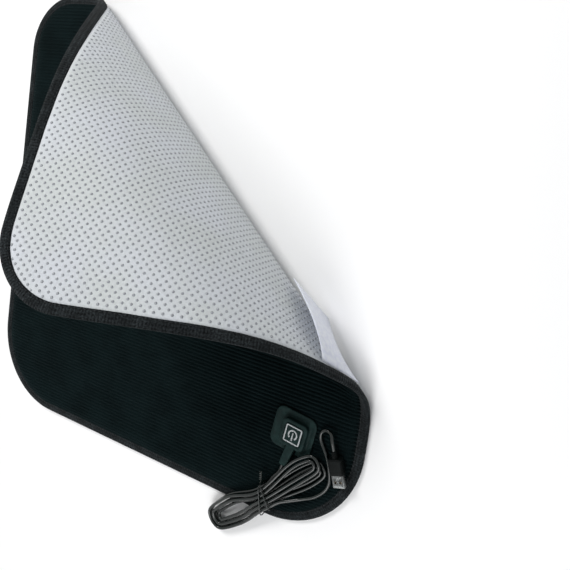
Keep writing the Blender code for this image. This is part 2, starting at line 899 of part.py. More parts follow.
def make_board(green, black, metal, clear, unit):
    """Circuit board with its chip, power transistor, push switch and status lights."""
    plate("circuit_board", [rounded_square(board_size, board_size, board_radius)],
          board_bottom, board_top, green, unit)
    for name, place in (("control_chip", chip_place), ("power_transistor", transistor_place)):
        centre = (*place, switch_bottom + chip_height / 2)
        box(name, (chip_size, chip_size, chip_height), centre, black, unit)
    body = box(
        "push_switch_body", (switch_body_size, switch_body_size, switch_body_height),
        (0, 0, switch_bottom + switch_body_height / 2), metal, unit
    )
    bore = cylinder(
        "plunger_bore", plunger_diameter + 2 * fit_gap, switch_bottom + switch_floor,
        switch_top + cutter_overrun, None, unit, 16, True
    )
    add_cut(body, bore)
    cylinder(
        "push_switch_plunger", plunger_diameter, switch_top - plunger_depth, plunger_top, black, unit, 16
    )
    for i in range(led_count):
        angle = math.pi * i / (led_count - 1)
        place = (
            led_from_centre * math.cos(angle),
            led_from_centre * math.sin(angle),
            switch_bottom + led_height / 2,
        )
        box(f"status_light_{i + 1}", (led_length, led_width, led_height), place, clear, unit)


def symbol_outlines(grow):
    """The power symbol: an open ring, and a bar through its opening on the cord's side."""
    outer = symbol_diameter / 2 + grow
    inner = symbol_diameter / 2 - symbol_line - grow
    middle = (outer + inner) / 2
    half_open = symbol_opening / 2 - grow / middle
    start = -math.pi / 2 + half_open
    end = 3 * math.pi / 2 - half_open
    ring = arc((0, 0), outer, start, end, 20) + arc((0, 0), inner, end, start, 20)
    half_line = symbol_line / 2 + grow
    top = -symbol_bar_start + grow
    low = -symbol_bar_start - symbol_bar_length - grow
    bar = [(-half_line, low), (half_line, low), (half_line, top), (-half_line, top)]
    return ring, bar


def frame_outlines(grow):
    """The square light frame: its outer and inner outline."""
    outer = frame_size + 2 * grow
    inner = frame_size - 2 * frame_line - 2 * grow
    inner_radius = max(frame_radius - frame_line / 2, fit_gap)
    return rounded_square(outer, outer, frame_radius + grow), rounded_square(inner, inner, inner_radius)


def make_button(silicone, light, unit):
    """Button with a lip under the roof, a stem for the switch, and its two light inlays."""
    lip_size = button_size + 2 * (button_clearance + button_lip)
    cap = plate(
        "power_button", [rounded_square(button_size, button_size, button_radius)],
        lip_bottom, face_top, silicone, unit
    )
    add_bevel(cap, button_clearance / 2, 1)
    lip = plate(
        "button_lip_body", [rounded_square(lip_size, lip_size, button_radius + button_lip)],
        lip_bottom, lip_top, None, unit, True
    )
    add_union(cap, lip)
    hollow_size = button_size - 2 * button_wall
    hollow = plate(
        "button_hollow", [rounded_square(hollow_size, hollow_size, button_radius / 2)],
        lip_bottom - cutter_overrun, face_bottom, None, unit, True
    )
    add_cut(cap, hollow)
    stem = cylinder(
        "stem_body", stem_diameter, plunger_top + fit_gap, face_bottom + fit_gap, None, unit, 16, True
    )
    add_union(cap, stem)
    groove_floor = face_top - inlay_depth - fit_gap
    groove_top = face_top + cutter_overrun
    outer, inner = frame_outlines(fit_gap)
    add_cut(cap, plate("frame_groove", [outer, inner], groove_floor, groove_top, None, unit, True))
    ring, bar = symbol_outlines(fit_gap)
    add_cut(cap, plate("ring_groove", [ring], groove_floor, groove_top, None, unit, True))
    add_cut(cap, plate("bar_groove", [bar], groove_floor, groove_top, None, unit, True))
    plate("light_frame", list(frame_outlines(0)), face_top - inlay_depth, face_top, light, unit)
    ring, bar = symbol_outlines(0)
    plate("power_symbol_ring", [ring], face_top - inlay_depth, face_top, light, unit)
    plate("power_symbol_bar", [bar], face_top - inlay_depth, face_top, light, unit)


def sleeve_lean():
    """Angle by which the sleeve leans aside from the unit's own axis."""
    return math.atan2(sleeve_offset, sleeve_length)


def make_sleeve(material, unit):
    """Flat bend sleeve that carries the cord out of the housing."""
    start = -block_size / 2 - fit_gap
    end = start - sleeve_length
    half = sleeve_width / 2
    end_half = sleeve_end_width / 2
    quarter = math.pi / 2
    left = -sleeve_offset - end_half + sleeve_corner
    right = -sleeve_offset + end_half - sleeve_corner
    outline = [(half, start), (-half, start)]
    outline += arc((left, end + sleeve_corner), sleeve_corner, math.pi, 3 * quarter, 4)
    outline += arc((right, end + sleeve_corner), sleeve_corner, -quarter, 0, 4)
    sleeve = plate("cord_sleeve", [outline], 0, sleeve_thickness, material, unit)
    add_bevel(sleeve, sleeve_round, 2)
    bore = cylinder(
        "sleeve_bore", cord_diameter + 2 * cord_bore_clearance, -sleeve_length, sleeve_length,
        None, unit, 12, True
    )
    bore.rotation_euler = (math.pi / 2, 0, -sleeve_lean())
    bore.location = (-sleeve_offset / 2, (start + end) / 2, cord_axis)
    add_cut(sleeve, bore)
    return sleeve


def make_supply_wires(red, black, unit):
    """The two conductors that leave the cord inside the housing and reach the board."""
    start = -block_size / 2 + block_wall + fit_gap
    height = board_top + fit_gap + supply_wire_diameter / 2
    for name, side, material in (("supply_wire_red", 1, red), ("supply_wire_black", -1, black)):
        x = side * supply_wire_spacing / 2
        points = [(x, start, height), (x, start + supply_wire_length, height)]
        tube(name, points, supply_wire_diameter, material, 1, unit)


def smooth_step(share):
    """Ease from 0 to 1."""
    share = np.clip(share, 0.0, 1.0)
    return share * share * (3 - 2 * share)


def ground_height(y):
    """Height that carries the cord: the plush, and a slope down over the front edge."""
    front = -mat_depth / 2
    run = hank_ramp_inside + hank_ramp_outside
    share = smooth_step((y - front + hank_ramp_outside) / run)
    return share * plush_top + hank_rest_gap


def hank_frame():
    """Middle of the hank's waist and its two directions on the floor."""
    middle = on_mat(hank_from_right_edge, hank_from_front_edge)
    ahead = Vector((math.cos(hank_heading), math.sin(hank_heading), 0))
    aside = Vector((-math.sin(hank_heading), math.cos(hank_heading), 0))
    return middle, ahead, aside


def hank_spread(along):
    """Number of the hank's end that a place lies towards, and its share of the way into the lobe."""
    end = 0 if along < 0 else 1
    return end, smooth_step(abs(along) / hank_waist_reach[end])


def hank_lift(along):
    """Height of the waist, which the tie draws up off its rest."""
    return hank_waist_lift * (1 - smooth_step(abs(along) / hank_lift_reach))


def hank_point(angle):
    """One point of the hank: loops that spiral in on the lower layer and out on the upper one."""
    turned = angle - math.pi / 2
    turning_point = math.pi * hank_turns
    depth = min(turned, 2 * turning_point - turned) / (2 * math.pi)
    layer = smooth_step((turned - turning_point + math.pi / 2) / math.pi)
    cosine = math.cos(angle)
    swing = max(-1, min(1, cosine / hank_run_share))
    run = (15 * swing - 10 * swing**3 + 3 * swing**5) / 8
    end = 0 if cosine < 0 else 1
    lobe = hank_lobe_half_width[end] - hank_step[end] * depth
    waist = hank_waist_half_width - hank_waist_step * depth
    along = lobe * cosine + (hank_reach[end] - hank_lobe_half_width[end]) * run
    spread = hank_spread(along)[1]
    drift = hank_lower_drift[end] + (hank_upper_drift[end] - hank_lower_drift[end]) * layer
    aside = math.sin(angle) * (waist + (lobe - waist) * spread) + drift * spread
    return along, aside, layer


def hank_points():
    """All points of the hank, closer together where it turns."""
    first = math.pi / 2
    last = first + 2 * math.pi * hank_turns
    fine = int(40 * points_per_loop * hank_turns)
    angles = np.linspace(first, last, fine + 1)
    middle, ahead, aside = hank_frame()
    places = []
    for angle in angles:
        along, across, layer = hank_point(angle)
        place = middle + ahead * along + aside * across
        height = ground_height(place.y) + cord_diameter / 2 + hank_lift(along) + hank_layer_step * layer
        places.append((place.x, place.y, height))
    places = np.array(places)
    steps = np.diff(places, axis=0)
    lengths = np.linalg.norm(steps, axis=1)
    headings = steps / lengths[:, None]
    run = np.concatenate([[0], np.cumsum(lengths)])
    turned = np.concatenate([[0, 0], np.cumsum(np.linalg.norm(np.diff(headings, axis=0), axis=1))])
    measure = run / run[-1] + turning_weight * turned / turned[-1]
    wanted = np.linspace(0, measure[-1], int(points_per_loop * hank_turns) + 1)
    points = np.stack([np.interp(wanted, measure, places[:, axis]) for axis in range(3)], axis=1)
    straight = np.array(ahead) * cord_diameter
    return np.vstack([points[0], points[0] - straight, points[1:-1], points[-1] - straight, points[-1]])


def cord_points():
    """Points of the lead from the button unit, the tied hank and the tail to the plug."""
    hank = hank_points()
    turn = Matrix.Rotation(button_unit_turn, 4, "Z")
    seat_place = button_place()
    inside = Vector((0, -block_size / 2 + block_wall, cord_axis))
    outside = Vector((-sleeve_offset, -block_size / 2 - sleeve_length, cord_axis))
    outside += (outside - inside).normalized() * cord_diameter / 2
    start = seat_place + turn @ inside
    mouth = seat_place + turn @ outside
    away = (mouth - start).normalized()
    spacing = cord_diameter * 2
    route = [mouth] + [from_corner(place) for place in lead_route]
    hank_ahead = hank_frame()[1]
    lead = smooth_route(route + [hank[0]], away, -hank_ahead, spacing)
    lead = np.vstack([[start], lead])
    plug_turn = plug_matrix()
    neck_end = plug_body_length / 2 + plug_neck_length
    tail_end = plug_turn @ Vector((-plug_body_length / 2 + plug_neck_length / 2, 0, 0))
    neck_mouth = plug_turn @ Vector((-neck_end - cord_diameter, 0, 0))
    plug_axis = (tail_end - neck_mouth).normalized()
    tail_places = [hank[-1]] + [from_corner(place) for place in tail_route] + [neck_mouth]
    tail = smooth_route(tail_places, hank_ahead, plug_axis, spacing)
    tail = np.vstack([tail, [tail_end]])
    return lead, hank, tail


def with_end_gap(points, at_start, at_end):
    """Draw an end of a route back, so that the next tube does not touch it."""
    points = [Vector(point) for point in points]
    if at_start:
        points[0] = points[0] + (points[1] - points[0]).normalized() * fit_gap / 2
    if at_end:
        points[-1] = points[-1] + (points[-2] - points[-1]).normalized() * fit_gap / 2
    return points


def make_cord(material):
    """Lead, hank and tail of the cord, each an unbroken tube."""
    lead, hank, tail = cord_points()
    tube("cord_lead", with_end_gap(lead, False, True), cord_diameter, material)
    tube("cord_hank", with_end_gap(hank, True, True), cord_diameter, material, 1)
    tube("cord_tail", with_end_gap(tail, True, False), cord_diameter, material)
    length = sum(
        np.linalg.norm(np.diff(points, axis=0), axis=1).sum() for points in (lead, hank, tail)
    )
    gap = strand_gap(np.vstack([lead, hank[1:], tail[1:]]))
    print("cord length", round(length, 3), "m, least gap to itself", round(gap * 1000, 2), "mm")


def strand_gap(points):
    """Least gap between strands of the cord, measured on points set close along its run."""
    run = np.concatenate([[0], np.cumsum(np.linalg.norm(np.diff(points, axis=0), axis=1))])
    at = np.linspace(0, run[-1], int(run[-1] / (cord_diameter / gap_samples_per_diameter)))
    close = np.stack([np.interp(at, run, points[:, axis]) for axis in range(3)], axis=1)
    skip = int(gap_samples_per_diameter * gap_skipped_diameters)
    least = math.inf
    for i in range(len(close) - skip):
        least = min(least, np.linalg.norm(close[i + skip:] - close[i], axis=1).min())
    return least - cord_diameter


def tie_wraps():
    """Wraps of the tie round the waist, each slanting across its top, as points."""
    middle, ahead, aside = hank_frame()
    floor = ground_height(middle.y) + hank_waist_lift
    half_width = hank_waist_half_width + cord_diameter / 2 + tie_clearance + tie_diameter / 2
    low = floor - tie_clearance - tie_diameter / 2
    high = floor + cord_diameter + hank_layer_step + tie_clearance + tie_diameter / 2
    radius = tie_corner_radius
    quarter = math.pi / 2
    top = arc((half_width - radius, high - radius), radius, 0, quarter, 4)
    top += arc((radius - half_width, high - radius), radius, quarter, 2 * quarter, 4)
    under = arc((radius - half_width, low + radius), radius, 2 * quarter, 3 * quarter, 4)
    under += arc((half_width - radius, low + radius), radius, 3 * quarter, 4 * quarter, 4)
    wraps = []
    for i, top_end in enumerate(tie_top_ends):
        start = tie_top_start + tie_wrap_pitch * i
        for points, first in ((top, start), (under, start + tie_wrap_pitch)):
            for y, z in points:
                share = (half_width - y) / (2 * half_width)
                along = first + (top_end - first) * share
                end, spread = hank_spread(along)
                wider = hank_lobe_half_width[end] - hank_waist_half_width + abs(hank_upper_drift[end])
                place = middle + ahead * along + aside * (y + math.copysign(wider * spread, y))
                slope = ground_height(place.y) - ground_height(middle.y)
                wraps.append(place + Vector((0, 0, z + slope + hank_lift(along) - hank_waist_lift)))
    return wraps


def make_tie(material):
    """Wire tie: its wraps round the hank's waist, and its two ends twisted together."""
    aside = hank_frame()[2]
    wraps = tie_wraps()
    axis = Matrix.Rotation(tie_twist_lean, 3, "Z") @ aside
    axis = (axis * math.cos(tie_twist_rise) + Vector((0, 0, math.sin(tie_twist_rise)))).normalized()
    side = Vector((0, 0, 1)).cross(axis).normalized()
    over = axis.cross(side)
    root = (wraps[0] + wraps[-1]) / 2 + aside * tie_corner_radius
    twist = []
    steps = int(tie_twist_length / tie_twist_pitch * tie_twist_points)
    for i in range(steps + 1):
        angle = 2 * math.pi * i / tie_twist_points
        place = root + axis * tie_twist_length * i / steps
        offset = side * math.cos(angle) + over * math.sin(angle)
        twist.append((place, offset * tie_twist_radius))
    first_end = [place - offset for place, offset in reversed(twist)]
    second_end = [place + offset for place, offset in twist]
    points = first_end + wraps + second_end
    return tube("wire_tie", points, tie_diameter, material, 1)


def plug_matrix():
    """Place of the plug, which lies on the plush beside the hank."""
    place = on_mat(plug_from_right_edge, plug_from_front_edge, plug_height)
    turn = Matrix.Rotation(plug_heading, 4, "Z") @ Matrix.Rotation(plug_pitch, 4, "Y")
    return Matrix.Translation(place) @ turn


def make_plug(black, steel, white, gold):
    """USB plug: moulded body, bend sleeve, metal shell, tongue and contacts."""
    unit = bpy.data.objects.new("plug_unit", None)
    part_collection.objects.link(unit)
    across = Matrix.Rotation(math.pi / 2, 4, "Z") @ Matrix.Rotation(math.pi / 2, 4, "X")
    unit.matrix_basis = plug_matrix() @ across
    half = plug_body_length / 2
    front = half
    body_outline = rounded_square(plug_body_width, plug_body_height, plug_body_corner)
    body = plate("plug_body", [body_outline], -half, half, black, unit)
    add_bevel(body, plug_body_round)
    pocket = plate(
        "shell_pocket",
        [rounded_square(plug_shell_width + 2 * fit_gap, plug_shell_height + 2 * fit_gap, plug_shell_corner)],
        front - plug_shell_inside - fit_gap, front + cutter_overrun, None, unit, True
    )
    add_cut(body, pocket)
    bore_diameter = cord_diameter + 2 * cord_bore_clearance
    bore = cylinder(
        "body_bore", bore_diameter, -half - cutter_overrun, -half + plug_neck_length / 2 + fit_gap,
        None, unit, 12, True
    )
    add_cut(body, bore)
    neck = plug_neck(black, unit, -half - fit_gap)
    neck_bore = cylinder(
        "neck_bore", bore_diameter, -half - plug_neck_length - 2 * cutter_overrun, -half + cutter_overrun,
        None, unit, 12, True
    )
    add_cut(neck, neck_bore)
    shell_start = front - plug_shell_inside
    shell_end = front + plug_shell_length
    outer = rounded_square(plug_shell_width, plug_shell_height, plug_shell_corner)
    inner = rounded_square(
        plug_shell_width - 2 * plug_shell_wall, plug_shell_height - 2 * plug_shell_wall,
        plug_shell_corner - plug_shell_wall
    )
    shell = plate("plug_shell", [outer, inner], shell_start, shell_end, steel, unit)
    for side in (-1, 1):
        window = box(
            "window_" + ("left" if side < 0 else "right"),
            (plug_window_size, plug_shell_height + 2 * cutter_overrun, plug_window_size),
            (side * plug_window_spacing / 2, 0, shell_end - plug_window_from_front),
            None, unit, True
        )
        add_cut(shell, window)
    tongue_low = -plug_shell_height / 2 + plug_shell_wall + fit_gap
    tongue_middle = tongue_low + plug_tongue_thickness / 2
    tongue_length = plug_shell_length + plug_shell_inside - 2 * fit_gap
    box(
        "plug_tongue", (plug_tongue_width, plug_tongue_thickness, tongue_length),
        (0, tongue_middle, (shell_start + shell_end) / 2), white, unit
    )
    contact_height = tongue_low + plug_tongue_thickness + fit_gap + plug_contact_thickness / 2
    for i in range(plug_contact_count):
        x = plug_contact_pitch * (i - (plug_contact_count - 1) / 2)
        centre = (x, contact_height, shell_end - plug_contact_length / 2 - plug_shell_wall)
        size = (plug_contact_width, plug_contact_thickness, plug_contact_length)
        box(f"plug_contact_{i + 1}", size, centre, gold, unit)


def plug_neck(material, unit, start):
    """Ringed bend sleeve behind the plug's body, turned from a profile."""
    profile = [(0, start)]
    count = 2 * plug_neck_rings + 1
    for i in range(count):
        share = i / count
        radius = (plug_neck_diameter + (plug_neck_end_diameter - plug_neck_diameter) * share) / 2
        if i % 2 == 1:
            radius -= plug_neck_groove
        profile.append((radius, start - plug_neck_length * share))
        profile.append((radius, start - plug_neck_length * (share + 1 / count)))
    profile.append((0, start - plug_neck_length))
    bm = bmesh.new()
    verts = [bm.verts.new((radius, 0, z)) for radius, z in profile]
    for first, second in zip(verts, verts[1:]):
        bm.edges.new((first, second))
    mesh = bpy.data.meshes.new("plug_neck")
    bm.to_mesh(mesh)
    bm.free()
    neck = add_object("plug_neck", mesh, material, unit)
    lathe = neck.modifiers.new("turned", "SCREW")
    lathe.axis = "Z"
    lathe.angle = 2 * math.pi
    lathe.steps = 16
    lathe.render_steps = 16
    lathe.use_merge_vertices = True
    lathe.merge_threshold = weld_distance
    lathe.use_normal_calculate = True
    return neck


def main():
    clear_scene()
    silver = finish("silver_anti_slip_fabric", (0.60, 0.62, 0.62), 0.75)
    plush = finish("black_ribbed_plush", (0.018, 0.022, 0.024), 0.95)
    tape = finish("charcoal_woven_tape", (0.030, 0.031, 0.033), 0.85)
    foil = finish("aluminised_felt", (0.62, 0.63, 0.64), 0.45, 0.6)
    felt = finish("white_felt", (0.70, 0.70, 0.68), 0.95)
    wadding = finish("polyester_wadding", (0.82, 0.82, 0.80), 1.0)
    fluorine_red = finish("red_wire_insulation", (0.50, 0.03, 0.02), 0.40)
    satin = finish("white_satin_ribbon", (0.80, 0.80, 0.86), 0.45)
    silicone = finish("black_silicone", (0.015, 0.015, 0.016), 0.45)
    vinyl = finish("black_vinyl", (0.010, 0.010, 0.011), 0.30)
    light = finish("grey_white_light_guide", (0.55, 0.56, 0.57), 0.50)
    green = finish("green_circuit_board", (0.02, 0.16, 0.06), 0.50)
    chip = finish("black_epoxy", (0.02, 0.02, 0.02), 0.60)
    steel = finish("nickel_plated_steel", (0.62, 0.62, 0.63), 0.28, 1.0)
    tin = finish("tinned_copper", (0.60, 0.56, 0.50), 0.35, 1.0)
    gold = finish("gold_plated_contacts", (0.75, 0.55, 0.22), 0.30, 1.0)
    ceramic = finish("white_ceramic", (0.78, 0.78, 0.75), 0.40)
    clear = finish("clear_led_epoxy", (0.75, 0.78, 0.80), 0.15)

    make_anti_slip_cover(silver)
    make_filling("reflector_felt", reflector_bottom, reflector_bottom + reflector_thickness,
                 filling_margin, foil)
    make_filling("carrier_felt", carrier_bottom, carrier_top, filling_margin, felt)
    make_heating_wire(fluorine_red)
    make_filling("wadding_layer", wadding_bottom, wadding_top, filling_margin, wadding, True)
    make_plush_cover(plush)
    make_edge_tape(tape)
    make_care_label(satin)
    make_leads(fluorine_red, vinyl, tin, ceramic)

    unit = seat("button_unit", button_place(), button_unit_turn)
    make_housing(silicone, unit)
    make_tray(vinyl, unit)
    make_board(green, chip, steel, clear, unit)
    make_button(silicone, light, unit)
    make_sleeve(silicone, unit)
    make_supply_wires(fluorine_red, vinyl, unit)
    make_cord(vinyl)
    make_tie(vinyl)
    make_plug(vinyl, steel, ceramic, gold)


main()
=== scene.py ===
"""Heating mat, dressed: ribbed plush, anti-slip fabric, edge tape, power button and tied cord.

Laid out as an add-on whose operators each make one piece or group of pieces. Pieces of the mat are
drawn flat, in the mat's own frame, and then laid over the fold, as the frame's solids are.
"""
import math

import bmesh
import bpy
import numpy as np
from mathutils import Matrix, Vector


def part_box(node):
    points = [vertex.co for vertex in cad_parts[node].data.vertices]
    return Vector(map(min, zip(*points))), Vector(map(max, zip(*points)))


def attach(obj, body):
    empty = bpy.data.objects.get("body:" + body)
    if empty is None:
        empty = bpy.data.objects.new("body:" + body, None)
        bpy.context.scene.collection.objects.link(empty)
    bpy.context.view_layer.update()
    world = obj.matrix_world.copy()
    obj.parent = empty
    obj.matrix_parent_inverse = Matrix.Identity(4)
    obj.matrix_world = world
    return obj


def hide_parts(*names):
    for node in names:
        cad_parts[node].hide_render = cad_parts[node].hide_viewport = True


bl_info = {
    "name": "Heating Mat",
    "version": (1, 0, 0),
    "blender": (4, 5, 0),
    "location": "View3D > Sidebar > Heating Mat",
    "description": "Makes a folded heating mat with its power button and tied cord",
    "category": "Add Mesh",
}

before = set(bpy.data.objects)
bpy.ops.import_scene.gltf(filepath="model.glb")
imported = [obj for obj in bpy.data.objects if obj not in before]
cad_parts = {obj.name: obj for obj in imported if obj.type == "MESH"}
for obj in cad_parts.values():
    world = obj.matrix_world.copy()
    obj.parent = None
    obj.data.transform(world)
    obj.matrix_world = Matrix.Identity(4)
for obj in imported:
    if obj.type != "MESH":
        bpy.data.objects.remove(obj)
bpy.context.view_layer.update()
TAPE_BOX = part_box("edge_tape")
HOUSING_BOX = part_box("button_housing")

QUARTER = math.pi / 2
FIT_GAP = 0.0003

# The mat: heights over the floor side, and what the plush and the fabric are made of
MAT_BODY = "mat"
BUTTON_BODY = "button"
MAT_SIZE = round(TAPE_BOX[1][0] - TAPE_BOX[0][0], 3)
FRONT_CORNER = 0.092
BACK_CORNER = 0.062
PLUSH_TOP = round(HOUSING_BOX[0][2] - FIT_GAP, 5)
TAPE_TOP = 0.0051
TAPE_LOW = 0.0003
RIM_LOW = 0.0014
RIM_TOP = 0.0040
LINING_RIM = 0.0027
LINING_TOP = 0.0069
TUCK_UNDER_TAPE = 0.0016
RIB_SAMPLES = 6
PLUSH_COLUMNS = 88
PLUSH_PUFF_WIDTH = 0.0125
PLUSH_WALL = 0.0012
PLUSH_UNEVEN = 0.00008
FABRIC_STEP = 0.0042
FABRIC_WALL = 0.0007
FABRIC_RISE_WIDTH = 0.004
DOT_HEIGHT = 0.00028
DOT_MARGIN = 0.0133
TAPE_STEP = 0.0035
TAPE_WANDER = 0.04
TAPE_SMOOTH = 7
STITCH_LINE = 0.86
STITCH_LINE_STEP = 0.003
STITCH_PITCH = 1.3
STITCH_WIDTH = 0.0007
STITCH_SINK = 0.0001

# The fold: three soft bends across one slanting line, each as (distance of its middle from the
# front right corner, width, angle)
FOLD_SLANT = math.radians(42.13)
BENDS = (
    (0.1109, 0.0804, math.radians(92.1)),
    (0.2099, 0.1610, math.radians(56.3)),
    (0.3313, 0.0643, math.radians(14.5)),
)
FOLD_TABLE = 2400

# The label, from the mat's front right corner: its seam, and the bend and end of each side
LABEL_FLAT = (0.0505, 0.0650)
LABEL_SEAM = (0.170, 0.220)
LABEL_SEAM_INSET = 0.0098
LABEL_SEAM_HEIGHT = -0.0011
LABEL_SIDES = (
    ((-0.0391, 0.1856, 0.0151), (-0.0578, 0.2114, 0.0020)),
    ((-0.0398, 0.2203, 0.0595), (-0.0874, 0.2466, 0.0280)),
)
LABEL_BULGE = 0.0028
LABEL_THICKNESS = 0.0004

# The cord: its route is that of the frame's solids, from the mat's front right corner
CORD_DIAMETER = 0.0032
CORD_STEP = 0.0025
HANK_MIDDLE = (-0.0906, 0.0224)
HANK_HEADING = math.radians(44.0)
HANK_TURNS = 4.5
HANK_RUN_SHARE = 0.90
HANK_REACH = (0.0810, 0.0800)
HANK_LOBE = (0.0170, 0.0146)
HANK_STEP = (0.0052, 0.0048)
HANK_WAIST = 0.0095
HANK_WAIST_STEP = 0.0042
HANK_WAIST_REACH = (0.0460, 0.0600)
HANK_LAYER = 0.0041
HANK_LOWER_DRIFT = (0.0006, -0.0004)
HANK_UPPER_DRIFT = (0.0022, 0.0062)
HANK_LIFT = 0.0023
HANK_LIFT_REACH = 0.0400
RAMP_INSIDE = 0.0280
RAMP_OUTSIDE = 0.0400
REST_GAP = 0.0005
LEAD_ROUTE = ((-0.0843, 0.0455, 0.0106), (-0.0880, 0.0385, 0.0115))
TAIL_ROUTE = (
    (-0.0720, 0.0264, 0.0154), (-0.0620, 0.0312, 0.0134), (-0.0510, 0.0362, 0.0110),
    (-0.0395, 0.0430, 0.0107), (-0.0306, 0.0522, 0.0107), (-0.0270, 0.0610, 0.0107),
    (-0.0272, 0.0680, 0.0107), (-0.0292, 0.0755, 0.0107), (-0.0320, 0.0825, 0.0107),
    (-0.0356, 0.0895, 0.0107), (-0.0398, 0.0960, 0.0108), (-0.0424, 0.1020, 0.0110),
    (-0.0416, 0.1080, 0.0115), (-0.0368, 0.1116, 0.0124), (-0.0316, 0.1098, 0.0134),
)
TIE_CLEARANCE = 0.0007
TIE_CORNER = 0.0034
TIE_PITCH = 0.0018
TIE_START = 0.0065
TIE_TOP_ENDS = (-0.0105, 0.0030)
TIE_END_TURN = math.radians(-52)
TIE_END_RISE = math.radians(24)
TIE_END_LENGTH = 0.0130
TIE_END_STEPS = 44
TIE_TWISTS = 2.15
TIE_TWIST_RADIUS = 0.0009

# The button unit and the plug, from the mat's front right corner
BUTTON_PLACE = (-0.0692, 0.0962)
BUTTON_TURN = math.radians(-7.0)
FLANGE_OFFSET = 0.0023
HOUSING_HALF = 0.0134
SLEEVE_LENGTH = 0.0215
SLEEVE_OFFSET = 0.0030
SLEEVE_HEIGHT = 0.0024
SLOT_HALF, SLOT_END, SLOT_LOW, SLOT_TOP = 0.00585, -0.0225, -0.001, 0.0034
CORD_INSIDE_HOUSING = 0.0014
CORD_IN_SLEEVE = 0.45
INLAY_LOW, INLAY_TOP, INLAY_EDGE = 0.0062, 0.00664, 0.00006
FRAME_HALF, FRAME_CORNER, FRAME_LINE = 0.00805, 0.0011, 0.0013
SYMBOL_RADIUS, SYMBOL_LINE = 0.0043, 0.0014
SYMBOL_HALF_OPEN = math.radians(38)
SYMBOL_BAR = ((0, 0.0020), (0, -0.0020), (0, -0.0060))
PLUG_PLACE = (-0.0218, 0.0825, 0.0132)
PLUG_HEADING = math.radians(-71.0)
PLUG_PITCH = math.radians(3.0)
PLUG_HALF = 0.00775
PLUG_NECK = 0.0060
PLUG_CORNER = 0.0018
PLUG_GRIPS, GRIPS_START, GRIP_PITCH = 6, 0.0022, 0.0017
SHELL_INSIDE, SHELL_LENGTH = 0.0035, 0.0120
WINDOW_HALF, WINDOW_FROM_MOUTH, WINDOW_OFFSET = 0.0011, 0.0052, 0.0025
WINDOW_REACH = 0.004
NECK_RINGS = 4
NECK_SIDES = 32

# The camera: its place, axes (right, up, back), focal length and shift as shares of the width
CAMERA_PLACE = (0.3706, 0.0945, 0.4419)
CAMERA_AXES = (
    (0.89602, 0.15824, -0.41486),
    (-0.18982, 0.98117, -0.03574),
    (0.40140, 0.11078, 0.90918),
)
CAMERA_SENSOR = 36.0
CAMERA_FOCAL = 519.6 / 570
CAMERA_SHIFT = (-0.0733, -0.0932)

# The stage: each soft light has a name, place, size, power and colour
LIGHT_TARGET = (0.08, 0.02, 0.05)
LIGHTS = (
    ("key light", (-0.62, 1.10, 1.20), 0.7, 24.5, (1.0, 0.99, 0.98)),
    ("fill light", (1.2, -0.6, 0.9), 1.2, 3.0, (0.95, 0.97, 1.0)),
    ("front light", (0.30, -1.05, 1.05), 0.8, 11.0, (1.0, 1.0, 1.0)),
)
WORLD_LIGHT = 0.23
WHITE = (1.0, 1.0, 1.0, 1.0)
FLOOR_FADE = (0.65, 1.25)
FLOOR_REACH = 3.0
FLOOR_HEIGHT = -0.0004


# Properties


def size_choice(name, description, default):
    """A length that the user can change."""
    return bpy.props.FloatProperty(name=name, description=description, default=default, unit="LENGTH")


def colour_choice(name, description, default):
    """A colour that the user can change."""
    return bpy.props.FloatVectorProperty(
        name=name, description=description, default=default, subtype="COLOR"
    )


class MatProperties(bpy.types.PropertyGroup):
    rib_pitch: size_choice("Rib pitch", "Distance between the plush ribs", 0.0038)
    rib_depth: size_choice("Rib depth", "Depth of the grooves between the ribs", 0.0012)
    plush_colour: colour_choice("Plush", "Colour of the plush", (0.0034, 0.0074, 0.0080))
    fabric_colour: colour_choice("Anti-slip fabric", "Colour of the floor side", (0.60, 0.63, 0.645))
    dot_colour: colour_choice("Dots", "Colour of the rubber dots", (0.31, 0.33, 0.35))
    dot_cell: size_choice("Dot cell", "Side of the square cell that holds two dots", 0.00718)
    dot_diameter: size_choice("Dot diameter", "Diameter of a rubber dot", 0.0028)
    tape_width: size_choice("Tape width", "Width of the edge tape on each side", 0.0095)
    tape_colour: colour_choice("Edge tape", "Colour of the edge tape", (0.0085, 0.0102, 0.0110))
    stitch_length: size_choice("Stitch length", "Length of one stitch", 0.0030)


class CordProperties(bpy.types.PropertyGroup):
    cord_colour: colour_choice("Cord", "Colour of the cord", (0.0006, 0.0044, 0.0036))
    tie_diameter: size_choice("Tie diameter", "Diameter of the wire tie", 0.0011)


class ButtonProperties(bpy.types.PropertyGroup):
    silicone_colour: colour_choice("Silicone", "Colour of the button unit", (0.0095, 0.0215, 0.0205))
    light_colour: colour_choice("Light guide", "Colour of the frame and the symbol", (0.42, 0.44, 0.45))


LOOKS = {"mat_look": MatProperties, "cord_look": CordProperties, "button_look": ButtonProperties}


def looks():
    """The property groups of the scene, as (mat, cord, button)."""
    return [getattr(bpy.context.scene, name) for name in LOOKS]


# Shader maths


class Nodes:
    """A node tree that is being built."""

    def __init__(self, tree):
        self.tree = tree

    def put(self, socket, value):
        """Give a socket a value or a link."""
        if isinstance(value, Field):
            value = value.socket
        if isinstance(value, bpy.types.NodeSocket):
            self.tree.links.new(value, socket)
        else:
            socket.default_value = value

    def node(self, kind, settings=None, values=(), output=0):
        """Add a node: its settings first, then the values or links of its sockets, by place or name."""
        node = self.tree.nodes.new(kind)
        for key, value in (settings or {}).items():
            setattr(node, key, value)
        for key, value in values.items() if isinstance(values, dict) else enumerate(values):
            self.put(node.inputs[key], value)
        return Field(self, node.outputs[output])


